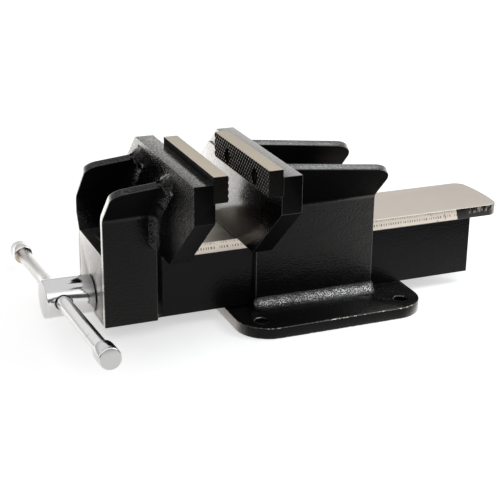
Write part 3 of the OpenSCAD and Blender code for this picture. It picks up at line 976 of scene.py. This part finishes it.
def thread_tree():
    """Threaded rod along X: a core and a ridge that follows a spiral."""
    tree = Tree("screw_thread", ("Length", "Lead", "Radius", "Depth"))
    length = tree.input("Length")
    lead = tree.input("Lead")
    depth = tree.input("Depth")
    middle = tree.input("Radius") - depth * 0.5
    ridge_length = length - lead
    spiral = tree.add("GeometryNodeCurveSpiral", {}, {
        "Resolution": TURN_POINTS, "Rotations": ridge_length / lead,
        "Start Radius": middle, "End Radius": middle, "Height": ridge_length})
    upright = tree.add("GeometryNodeSetCurveNormal", {"mode": "Z_UP"}, {"Curve": spiral})
    section = tree.add("GeometryNodeCurvePrimitiveQuadrilateral", {"mode": "TRAPEZOID"}, {
        "Height": depth * RIDGE_HEIGHT, "Bottom Width": lead * RIDGE_FOOT,
        "Top Width": lead * RIDGE_CREST, "Offset": 0.0})
    ridge = tree.add("GeometryNodeCurveToMesh", {}, {
        "Curve": upright, "Profile Curve": section, "Fill Caps": True})
    ridge = tree.placed(ridge, Translation=tree.vector(0.0, 0.0, lead * 0.5))
    rod = tree.add("GeometryNodeMeshCylinder", {"fill_type": "NGON"}, {
        "Vertices": CORE_POINTS, "Radius": tree.input("Radius") - depth, "Depth": length}, "Mesh")
    rod = tree.placed(rod, Translation=tree.vector(0.0, 0.0, length * 0.5))
    both = tree.add("GeometryNodeJoinGeometry", {}, {0: [ridge, rod]})
    return tree.closed(tree.placed(both, Rotation=(0.0, math.pi / 2, 0.0)))


# Operators, one for each piece or group of like pieces

# Widths of the edges of turned pieces, the nut and the wear strips
TURNED_EDGE = 0.5 * MM
NUT_EDGE = 1.0 * MM
STRIP_EDGE = 0.3 * MM
# How much broader the edges of the base plate and of the slide's painted pieces are
BROADER = 1.4
# Length of the bar's painted rear end, up to the end of the walls
PAINTED_REAR = 17 * MM
# How far the screw's plain journal runs past its collar
PAST_COLLAR = 4 * MM
# Knob: its length, its collar's length and depth, the step and depth of its lip, the depth of
# its neck, the radius of its outer end, and the place, half width and depth of its seam
KNOB_LENGTH = 26 * MM
COLLAR_LENGTH = 3.2 * MM
COLLAR_DEPTH = 2.2 * MM
COLLAR_STEPS = 5
LIP_START = 0.3 * MM
LIP_END = 0.4 * MM
LIP_DEPTH = 2.6 * MM
NECK_DEPTH = 3.4 * MM
KNOB_ROUND = 1.4 * MM
ROUND_STEPS = 4
SEAM_PLACE = 4.2 * MM
SEAM_HALF = 0.5 * MM
SEAM_DEPTH = 0.35 * MM
THREAD_DEPTH = 2.4 * MM
ROD_SMOOTH_DEGREES = 30
TURNED_SMOOTH_DEGREES = 50
# Least upward and nearward parts of the normal on the top edges of the leaning plates
TOP_EDGE_UP = 0.4
TOP_EDGE_NEAR = 0.2


class ViseOperator:
    """What the operators share."""

    bl_options = {"REGISTER"}

    @property
    def edges(self):
        return bpy.context.scene.vise_finish

    @property
    def welds(self):
        return bpy.context.scene.vise_welds

    @property
    def plate_paint(self):
        return finish_named("plate_paint", paint_on_plate)

    @property
    def edge_paint(self):
        return finish_named("edge_paint", paint_on_edge)


class VISE_OT_base(ViseOperator, bpy.types.Operator):
    """Base plate with softened, scuffed edges"""

    bl_idname = "vise.base"
    bl_label = "Base plate"

    def execute(self, context):
        paint = finish_named("base_paint", paint_on_plate, grain=3 * MM, scale=(1.0, 1.0, 1.0), gleam=3.6)
        edge = finish_named("base_edge_paint", paint_on_edge, wear=1.0)
        dressed("base_plate", "black_paint", self.edges.plate_edge * BROADER, paint, edge)
        return {"FINISHED"}


class VISE_OT_side_plates(ViseOperator, bpy.types.Operator):
    """Bent side plates of the fixed body and of the moving jaw"""

    bl_idname = "vise.side_plates"
    bl_label = "Side plates"

    def execute(self, context):
        rim = finish_named(
            "rim_paint", paint_on_weld, grain=2.2 * MM, depth=0.6 * MM, level=0.32, sparkle=0.04)
        for node in ("fixed_near_plate", "fixed_far_plate", "moving_near_plate", "moving_far_plate"):
            piece = dressed(
                node, "black_paint", self.edges.plate_edge, self.plate_paint, self.edge_paint, rim)
            # Top edges of the leaning parts
            for polygon in piece.data.polygons:
                if polygon.normal.z > TOP_EDGE_UP and polygon.normal.y < -TOP_EDGE_NEAR:
                    polygon.material_index = 2
        return {"FINISHED"}


class VISE_OT_jaw_plates(ViseOperator, bpy.types.Operator):
    """Jaw plates under grainy paint"""

    bl_idname = "vise.jaw_plates"
    bl_label = "Jaw plates"

    def execute(self, context):
        for node, coarse in (("fixed_jaw_plate", 0.25), ("moving_jaw_plate", 1.0)):
            paint = finish_named(node + "_paint", paint_on_jaw, coarse=coarse)
            dressed(node, "black_paint", self.edges.plate_edge, paint, self.edge_paint)
        return {"FINISHED"}


class VISE_OT_inserts(ViseOperator, bpy.types.Operator):
    """Jaw inserts with ground tops and serrated faces"""

    bl_idname = "vise.inserts"
    bl_label = "Jaw inserts"

    # What the serrated slab leaves free at the insert's ends, and how far it reaches into the block
    margin = 0.2 * MM
    overlap = 0.3 * MM

    def execute(self, context):
        teeth = context.scene.vise_teeth
        tree = serration_tree(teeth.fineness)
        black = finish_named("insert_black", blackened_steel)
        ground = finish_named("insert_ground", ground_steel)
        dark = finish_named("insert_teeth", tooth_steel)
        for node, grip in (("fixed_jaw_insert", -1), ("moving_jaw_insert", 1)):
            low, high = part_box(node)
            face = low.x if grip < 0 else high.x
            self.block(node, grip, face, teeth.depth + self.overlap, [black, ground])
            self.serration(tree, node, grip, face, teeth, [dark, ground, black])
        return {"FINISHED"}

    def block(self, node, grip, face, set_back, materials):
        """Insert whose gripping face is set back behind the bottom of the grooves."""
        mesh = merged_copy(node)
        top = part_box(node)[1].z
        for vertex in mesh.vertices:
            if abs(vertex.co.x - face) < TOUCH:
                vertex.co.x -= grip * set_back
        piece = new_piece(node + "_block", mesh, materials)
        for polygon in mesh.polygons:
            polygon.material_index = 1 if polygon.center.z > top - TOUCH else 0
        soften(piece, self.edges.fine_edge, 2)
        settle(piece, "jaw_steel", node)

    def serration(self, tree, node, grip, face, teeth, materials):
        """Serrated slab over the block's front, with a ground top and black ends."""
        low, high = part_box(node)
        size = high - low
        middle = (low + high) / 2
        jaw_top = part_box(node.replace("insert", "plate"))[1].z
        mesh = tree.mesh(node + "_face", {
            "Length": size.y - self.margin, "Height": size.z - self.margin, "Pitch": teeth.pitch,
            "Row": teeth.row, "Depth": teeth.depth, "Skirt": teeth.depth + 2 * self.overlap,
            "Hole Y": size.y * (JAW_SCREW_SHARE - 0.5),
            "Hole Z": jaw_top - JAW_SCREW_DROP - middle.z,
            "Hole Radius": COUNTERBORE / 2, "Material": materials[0]})
        turn = Matrix.Rotation(math.pi if grip < 0 else 0.0, 4, "Z")
        mesh.transform(Matrix.Translation((face, middle.y, middle.z)) @ turn)
        piece = new_piece(node + "_face", mesh, materials)
        for polygon in mesh.polygons:
            if abs(polygon.center.z - high.z + self.margin / 2) < TOUCH:
                polygon.material_index = 1
            elif abs(polygon.normal.x) < 0.1:
                polygon.material_index = 2
        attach(piece, NODE_BODY[node])


class VISE_OT_jaw_screws(ViseOperator, bpy.types.Operator):
    """Socket screws that hold the inserts"""

    bl_idname = "vise.jaw_screws"
    bl_label = "Jaw screws"

    def execute(self, context):
        dark = finish_named("socket_screw", dark_steel, colour=SOCKET_STEEL)
        for node in ("fixed_jaw_screws", "moving_jaw_screws"):
            dressed(node, "dark_steel", self.edges.fine_edge, dark)
        return {"FINISHED"}


class VISE_OT_base_welds(ViseOperator, bpy.types.Operator):
    """Weld beads between the base plate and the fixed side plates"""

    bl_idname = "vise.base_welds"
    bl_label = "Base welds"

    def execute(self, context):
        welds = self.welds
        paint = finish_named(
            "weld_paint", paint_on_weld, grain=1.7 * MM, depth=0.9 * MM, level=0.45, sparkle=0.32,
            crown=True)
        legs = (BASE_FULLNESS * welds.base_leg, PLATE_FULLNESS * welds.base_leg)
        for node, out in (("base_weld_near", -1), ("base_weld_far", 1)):
            low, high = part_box(node)
            corner_y = high.y if out < 0 else low.y
            start = Vector((low.x - FRONT_RUN, corner_y, low.z))
            end = Vector((high.x + REAR_RUN, corner_y, low.z))
            stations = straight_stations(
                start, end, Vector((0, out, 0)), Vector((0, 0, 1)), legs, gap=0.7 * MM, wobble=0.06,
                seed=welds.seed)
            shape = bmesh.new()
            add_bead(shape, stations, welds.ripple * 0.6, welds.seed, hollow=0.05, steps=16)
            mesh = mesh_from(shape, node, BEAD_SMOOTH_DEGREES)
            settle(new_piece(node + "_bead", mesh, [paint]), "black_paint", node)
        return {"FINISHED"}


class VISE_OT_jaw_welds(ViseOperator, bpy.types.Operator):
    """Weld beads between the moving side plates, the moving jaw plate and the slide"""

    bl_idname = "vise.jaw_welds"
    bl_label = "Jaw welds"

    def execute(self, context):
        self.corner_beads()
        self.edge_beads()
        return {"FINISHED"}

    def corner_beads(self):
        """Beads up both faces of both moving plates and over their top edges, run together."""
        welds = self.welds
        paint = finish_named(
            "jaw_weld_paint", paint_on_weld, grain=2.6 * MM, depth=0.9 * MM, level=0.10, sparkle=0.02)
        corner_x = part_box("moving_jaw_plate")[0].x
        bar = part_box("slide_bar")[1]
        plates = (
            (-bar.y - PLATE_THICK, bar.z, MOVING_BEND, MOVING_RUN),
            (bar.y + FAR_JOG, bar.z + 2 * FAR_JOG, FAR_BEND, FAR_RUN),
        )
        shape = bmesh.new()
        for number, (face, low, bend, run) in enumerate(plates):
            for outward in (-1, 1):
                seed = welds.seed + 2 * number + outward
                surface = face if outward < 0 else face + PLATE_THICK
                path = plate_path(surface, low, bend, run - BEND_INSET, outward, gap=1.2 * MM)
                stations = []
                for step, (point, normal) in enumerate(path):
                    corner = Vector((corner_x, point.y, point.z))
                    swell = 1 + SWELL * rough(corner, SWELL_LENGTH, seed)
                    leg = JAW_FULLNESS * welds.jaw_leg * swell * min(1.0, FOOT_LEG + LEG_STEP * step)
                    stations.append((corner, normal, FORWARD, leg, leg))
                add_bead(
                    shape, stations, welds.ripple * 1.2, seed, hollow=0.08, steps=14, bury=1.0 * MM)
            self.top_bead(shape, Vector((corner_x, face, bend)), run, welds.seed + number)
        mesh = mesh_from(shape, "jaw_welds", BEAD_SMOOTH_DEGREES)
        piece = new_piece("moving_jaw_weld_beads", mesh, [paint])
        fuse = piece.modifiers.new("fuse", "REMESH")
        fuse.mode = "VOXEL"
        fuse.voxel_size = FUSE_VOXEL
        fuse.use_smooth_shade = True
        smooth = piece.modifiers.new("smooth", "SMOOTH")
        smooth.factor = 0.5
        smooth.iterations = 4
        mesh = evaluated_mesh(piece, "jaw_weld_beads")
        mesh.materials.clear()
        mesh.materials.append(paint)
        piece.data = mesh
        settle(piece, "black_paint", "moving_jaw_welds")

    def top_bead(self, shape, corner, run, seed):
        """Lumpy bead from a plate's top edge up the jaw plate, round both corners of the edge."""
        top = corner + PLATE_SLOPE * run
        leg = self.welds.jaw_leg
        spread = TOP_SPREAD * leg
        stations = []
        for step in range(TOP_BEAD_STEPS + 1):
            share = step / TOP_BEAD_STEPS
            past = PLATE_THICK * share + spread * (2 * share - 1)
            bulge = math.sin(math.pi * (TOP_END + (1 - 2 * TOP_END) * share)) ** TOP_ROUND
            drop = spread * abs(2 * share - 1) ** 3
            place = top + PLATE_NORMAL * past - PLATE_SLOPE * drop
            stations.append((place, PLATE_SLOPE, FORWARD, leg * bulge, leg * TOP_FORWARD * bulge))
        add_bead(
            shape, stations, self.welds.ripple * 3, seed + 9, hollow=0.36, steps=14, bury=2.0 * MM)

    def edge_beads(self):
        """Beads down the rear edges of the moving plates."""
        welds = self.welds
        seed = welds.seed + 3
        # Painted shade: this bead's paint mirrors almost nothing, so that it shows as the dark corner
        # beside the slide
        paint = finish_named(
            "edge_weld_paint", paint_on_weld, grain=2.4 * MM, depth=0.3 * MM, level=0.05, sparkle=0.0,
            gleam=8.0)
        low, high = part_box("moving_edge_welds")
        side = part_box("slide_bar")[1].y
        legs = (welds.edge_leg, 1.5 * welds.edge_leg)
        shape = bmesh.new()
        for out in (-1, 1):
            start = Vector((low.x, out * side, low.z))
            end = Vector((low.x, out * side, high.z))
            stations = straight_stations(
                start, end, Vector((0, out, 0)), Vector((1, 0, 0)), legs, gap=0.8 * MM, wobble=0.1,
                seed=seed)
            add_bead(shape, stations, welds.ripple * 0.5, seed, hollow=0.3, steps=10)
        mesh = mesh_from(shape, "edge_welds", BEAD_SMOOTH_DEGREES)
        settle(new_piece("moving_edge_weld_beads", mesh, [paint]), "black_paint", "moving_edge_welds")


class VISE_OT_slide(ViseOperator, bpy.types.Operator):
    """Slide: machined bar, painted walls and end plate"""

    bl_idname = "vise.slide"
    bl_label = "Slide"

    def execute(self, context):
        low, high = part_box("slide_bar")
        bar = finish_named(
            "bar_steel", machined_bar, paint_end=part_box("moving_jaw_plate")[1].x,
            bare_end=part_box("slide_near_wall")[1].x - PAINTED_REAR, bottom=low.z, top=high.z)
        wall = finish_named(
            "wall_paint", paint_on_plate, grain=2.0 * MM, depth=0.35 * MM, scale=(0.4, 1.0, 1.0),
            gleam=context.scene.vise_finish.wall_gleam)
        end = finish_named("end_paint", paint_on_end)
        dressed("slide_bar", "machined_bar", self.edges.fine_edge, bar)
        for node, paint in (("slide_near_wall", wall), ("slide_far_wall", wall), ("end_plate", end)):
            dressed(node, "black_paint", self.edges.fine_edge * BROADER, paint, self.edge_paint)
        return {"FINISHED"}


class VISE_OT_screw(ViseOperator, bpy.types.Operator):
    """Screw: plated head, threaded rod, collar and pin"""

    bl_idname = "vise.screw"
    bl_label = "Screw"

    def execute(self, context):
        low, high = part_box("screw_head")
        bar_low, bar_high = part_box("handle_bar")
        centre = Vector(((bar_low.x + bar_high.x) / 2, 0.0, (low.z + high.z) / 2))
        hole = (centre, (bar_high.x - bar_low.x) / 2)
        head = finish_named("head_chrome", chrome, axis="X", roughness=0.07, hole=hole)
        dressed("screw_head", "plating", TURNED_EDGE, head)
        steel = finish_named("screw_steel", dark_steel, colour=SCREW_STEEL)
        self.rod(steel)
        dressed("retaining_collar", "dark_steel", TURNED_EDGE, steel)
        dressed("collar_pin", "dark_steel", self.edges.fine_edge, steel)
        return {"FINISHED"}

    def rod(self, steel):
        """Plain journal through the end plate, then the thread."""
        low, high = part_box("lead_screw")
        radius = (high.z - low.z) / 2
        axis = (high.z + low.z) / 2
        journal_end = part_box("retaining_collar")[1].x + PAST_COLLAR
        rim = 1 * MM
        journal = lathe([
            (low.x, radius - rim), (low.x + rim, radius), (journal_end - rim, radius),
            (journal_end, radius - 2 * rim)])
        thread = thread_tree().mesh("lead_thread", {
            "Length": high.x - journal_end + rim, "Lead": SCREW_LEAD, "Radius": radius,
            "Depth": THREAD_DEPTH, "Material": steel})
        thread.transform(Matrix.Translation((journal_end - rim, 0, 0)))
        journal.from_mesh(thread)
        bpy.data.meshes.remove(thread)
        mesh = mesh_from(journal, "lead_screw_rod", ROD_SMOOTH_DEGREES)
        mesh.transform(Matrix.Translation((0, 0, axis)))
        settle(new_piece("lead_screw_rod", mesh, [steel]), "bright_steel", "lead_screw")


class VISE_OT_handle(ViseOperator, bpy.types.Operator):
    """Handle bar and its two knobs"""

    bl_idname = "vise.handle"
    bl_label = "Handle"

    def execute(self, context):
        head_low, head_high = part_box("screw_head")
        low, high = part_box("handle_bar")
        place = Matrix.Translation(((low.x + high.x) / 2, 0, (head_low.z + head_high.z) / 2))
        place = place @ Matrix.Rotation(HANDLE_TILT, 4, "X") @ Matrix.Rotation(math.pi / 2, 4, "Z")
        bar = finish_named("handle_plating", plated_bar)
        self.turned("handle_bar", self.bar_profile(high, low), place, bar)
        knob_low, knob_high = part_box("far_knob")
        knob_radius = (knob_high.x - knob_low.x) / 2
        reach = knob_high.y / math.cos(HANDLE_TILT) - knob_radius * math.tan(abs(HANDLE_TILT))
        cap = finish_named("knob_chrome", chrome, axis="Y", roughness=0.12, seam=knob_low.y)
        for node, turn in (("far_knob", 0.0), ("near_knob", math.pi)):
            flip = Matrix.Rotation(turn, 4, "Z")
            self.turned(node, self.knob_profile(reach, knob_radius), place @ flip, cap)
        return {"FINISHED"}

    def bar_profile(self, high, low):
        """Plain bar between its ends inside the knobs."""
        radius = (high.x - low.x) / 2
        half = (high.y - low.y) / 2 / math.cos(HANDLE_TILT) - radius * math.tan(abs(HANDLE_TILT))
        rim = 0.8 * MM
        return [(-half, radius - rim), (-half + rim, radius), (half - rim, radius), (half, radius - rim)]

    def knob_profile(self, reach, radius):
        """Knob with a tapered collar at the bar, a shallow seam and a rounded outer end."""
        start = reach - KNOB_LENGTH
        seam = reach - SEAM_PLACE
        profile = [(start, radius - NECK_DEPTH), (start + LIP_START, radius - LIP_DEPTH)]
        for step in range(COLLAR_STEPS + 1):
            angle = math.pi / 2 * step / COLLAR_STEPS
            along = start + COLLAR_LENGTH - (COLLAR_LENGTH - LIP_END) * math.cos(angle)
            profile.append((along, radius - COLLAR_DEPTH * (1 - math.sin(angle))))
        profile += [(seam - SEAM_HALF, radius), (seam, radius - SEAM_DEPTH), (seam + SEAM_HALF, radius)]
        for step in range(ROUND_STEPS + 1):
            angle = math.pi / 2 * step / ROUND_STEPS
            along = reach - KNOB_ROUND * (1 - math.sin(angle))
            profile.append((along, radius - KNOB_ROUND * (1 - math.cos(angle))))
        return profile

    def turned(self, node, profile, place, material):
        """Lathe piece on the handle's axis."""
        mesh = mesh_from(lathe(profile), node + "_turned", TURNED_SMOOTH_DEGREES)
        mesh.transform(place)
        settle(new_piece(node + "_turned", mesh, [material]), "plating", node)


class VISE_OT_inner(ViseOperator, bpy.types.Operator):
    """Nut, bush, wear strips and keeper inside the body"""

    bl_idname = "vise.inner"
    bl_label = "Inner pieces"

    def execute(self, context):
        bronze = finish_named("bearing_bronze", bearing_bronze)
        dressed("nut_block", "black_paint", NUT_EDGE, self.plate_paint, self.edge_paint)
        dressed("nut_bush", "bronze", TURNED_EDGE, bronze)
        dressed("wear_strips", "bronze", STRIP_EDGE, bronze)
        dressed("keeper_bar", "black_paint", self.edges.plate_edge, self.plate_paint, self.edge_paint)
        return {"FINISHED"}


# Places on the floor, in metres, between which its reflection brightens behind the vise, ends
# towards the rear and darkens in front
FLOOR_BEHIND = (0.0, 0.45)
FLOOR_REAR = (-0.1, 0.15)
FLOOR_FRONT = (0.5, 1.2)
FLOOR_DIM = 0.9
# Parts of a direction between which the dark room and the window begin towards the camera, and
# their heights
ROOM_SIDE = (0.3, 0.7)
ROOM_LEVEL = 0.1
ROOM_EDGE = (0.1, 0.25)
ROOM_SHADE = 0.85
WINDOW_SIDE = (0.2, 0.6)
WINDOW_FOOT = (0.28, 0.42)
WINDOW_HEAD = (0.6, 0.85)
SKY_RISE = (0.1, 0.5)
SENSOR_WIDTH = 36


class VISE_OT_stage(ViseOperator, bpy.types.Operator):
    """Floor, camera, softbox and the light from all round"""

    bl_idname = "vise.stage"
    bl_label = "Stage"

    def execute(self, context):
        stage = context.scene.vise_stage
        context.scene.view_settings.view_transform = "Standard"
        self.floor(stage)
        self.camera(context, stage)
        self.softbox(context, stage)
        self.dome(context, stage)
        return {"FINISHED"}

    def floor(self, stage):
        """White floor, lifted for the camera and in reflections, which keeps the shadow.

        In reflections it is warmer, brighter behind the vise and dark well in front of it.
        """
        half = stage.floor_size / 2
        mesh = bpy.data.meshes.new("floor")
        corners = [(-half, -half, 0), (half, -half, 0), (half, half, 0), (-half, half, 0)]
        mesh.from_pydata(corners, [], [(0, 1, 2, 3)])
        finish = Finish(bpy.data.materials.new("floor_white"))
        camera, glossy = finish.rays()
        along = finish.place().part("X")
        across = along.other("Y")
        behind = across.rise(*FLOOR_BEHIND) * along.fall(*FLOOR_REAR)
        in_front = (-across).rise(*FLOOR_FRONT) * glossy
        colour = finish.blend(in_front * ROOM_SHADE, stage.floor_colour, ROOM_DARK)
        matt = finish.add("ShaderNodeBsdfDiffuse", {}, {"Color": colour})
        seen = camera.most(glossy) * stage.floor_lift * (1 - in_front * FLOOR_DIM)
        lift = finish.add("ShaderNodeEmission", {}, {
            "Color": finish.blend(glossy, WHITE, stage.floor_glow),
            "Strength": seen + glossy * behind * stage.floor_gleam})
        both = finish.add("ShaderNodeAddShader", {}, {0: matt, 1: lift})
        floor = new_piece("floor", mesh, [finish.surface(both)])

    def camera(self, context, stage):
        """Camera at the photograph's viewing angle."""
        data = bpy.data.cameras.new("camera")
        data.lens = stage.lens
        data.sensor_width = SENSOR_WIDTH
        data.clip_end = 2 * stage.floor_size
        camera = bpy.data.objects.new("camera", data)
        turn, drop = stage.azimuth, stage.elevation
        ahead = Vector((
            math.sin(turn) * math.cos(drop), math.cos(turn) * math.cos(drop), -math.sin(drop)))
        right = Vector((math.cos(turn), -math.sin(turn), 0))
        up = right.cross(ahead)
        lean_right = right * math.cos(stage.roll) + up * math.sin(stage.roll)
        lean_up = up * math.cos(stage.roll) - right * math.sin(stage.roll)
        axes = Matrix((lean_right, lean_up, -ahead)).transposed().to_4x4()
        camera.matrix_world = Matrix.Translation(stage.camera_place) @ axes
        context.scene.collection.objects.link(camera)
        context.scene.camera = camera

    def softbox(self, context, stage):
        """Soft light over the right side."""
        data = bpy.data.lights.new("softbox", "AREA")
        data.shape = "SQUARE"
        data.size = stage.softbox_size
        data.energy = stage.softbox_power
        data.color = stage.softbox_colour
        light = bpy.data.objects.new("softbox", data)
        away = stage.softbox_place - stage.softbox_aim
        turn = away.to_track_quat("Z", "Y").to_matrix().to_4x4()
        light.matrix_world = Matrix.Translation(stage.softbox_place) @ turn
        context.scene.collection.objects.link(light)

    def dome(self, context, stage):
        """Even light, white to the camera, with a darker horizon, a dark room behind the camera
        and a window above it in reflections."""
        world = bpy.data.worlds.new("studio")
        context.scene.world = world
        finish = Finish(world)
        height = finish.add("ShaderNodeTexCoord", output="Generated").part("Z")
        towards = -height.other("Y")
        room = towards.rise(*ROOM_SIDE) * abs(height - ROOM_LEVEL).fall(*ROOM_EDGE)
        window = towards.rise(*WINDOW_SIDE) * height.rise(*WINDOW_FOOT) * height.fall(*WINDOW_HEAD)
        sky = height.rise(*SKY_RISE).between(stage.horizon, stage.zenith)
        sky = sky * (1 - room * ROOM_SHADE) + window * stage.window
        camera, glossy = finish.rays()
        strength = camera + (1 - camera) * (glossy * sky + (1 - glossy) * stage.dome_light)
        light = finish.add("ShaderNodeBackground", {}, {"Color": WHITE, "Strength": strength})
        finish.add("ShaderNodeOutputWorld", {}, {"Surface": light})


class VISE_PT_panel(bpy.types.Panel):
    """Lists the pieces of the vise"""

    bl_idname = "VISE_PT_panel"
    bl_label = "Offset bench vise"
    bl_space_type = "VIEW_3D"
    bl_region_type = "UI"
    bl_category = "Vise"

    def draw(self, context):
        for operator in OPERATORS:
            self.layout.operator(operator.bl_idname)
        for group in GROUPS:
            options = getattr(context.scene, group)
            box = self.layout.box()
            for name in options.__annotations__:
                box.prop(options, name)


OPERATORS = (
    VISE_OT_stage, VISE_OT_base, VISE_OT_side_plates, VISE_OT_jaw_plates, VISE_OT_inserts,
    VISE_OT_jaw_screws, VISE_OT_base_welds, VISE_OT_jaw_welds, VISE_OT_slide, VISE_OT_screw,
    VISE_OT_handle, VISE_OT_inner,
)
GROUPS = {
    "vise_stage": ViseStage, "vise_finish": ViseFinish, "vise_welds": ViseWelds, "vise_teeth": ViseTeeth,
}


def register():
    for name, group in GROUPS.items():
        bpy.utils.register_class(group)
        setattr(bpy.types.Scene, name, PointerProperty(type=group))
    for panel_or_operator in (*OPERATORS, VISE_PT_panel):
        bpy.utils.register_class(panel_or_operator)


def unregister():
    for panel_or_operator in (VISE_PT_panel, *reversed(OPERATORS)):
        bpy.utils.unregister_class(panel_or_operator)
    for name, group in GROUPS.items():
        delattr(bpy.types.Scene, name)
        bpy.utils.unregister_class(group)


def main():
    register()
    bpy.ops.vise.stage()
    bpy.ops.vise.base()
    bpy.ops.vise.side_plates()
    bpy.ops.vise.jaw_plates()
    bpy.ops.vise.inserts()
    bpy.ops.vise.jaw_screws()
    bpy.ops.vise.base_welds()
    bpy.ops.vise.jaw_welds()
    bpy.ops.vise.slide()
    bpy.ops.vise.screw()
    bpy.ops.vise.handle()
    bpy.ops.vise.inner()


if __name__ == "__main__":
    main()
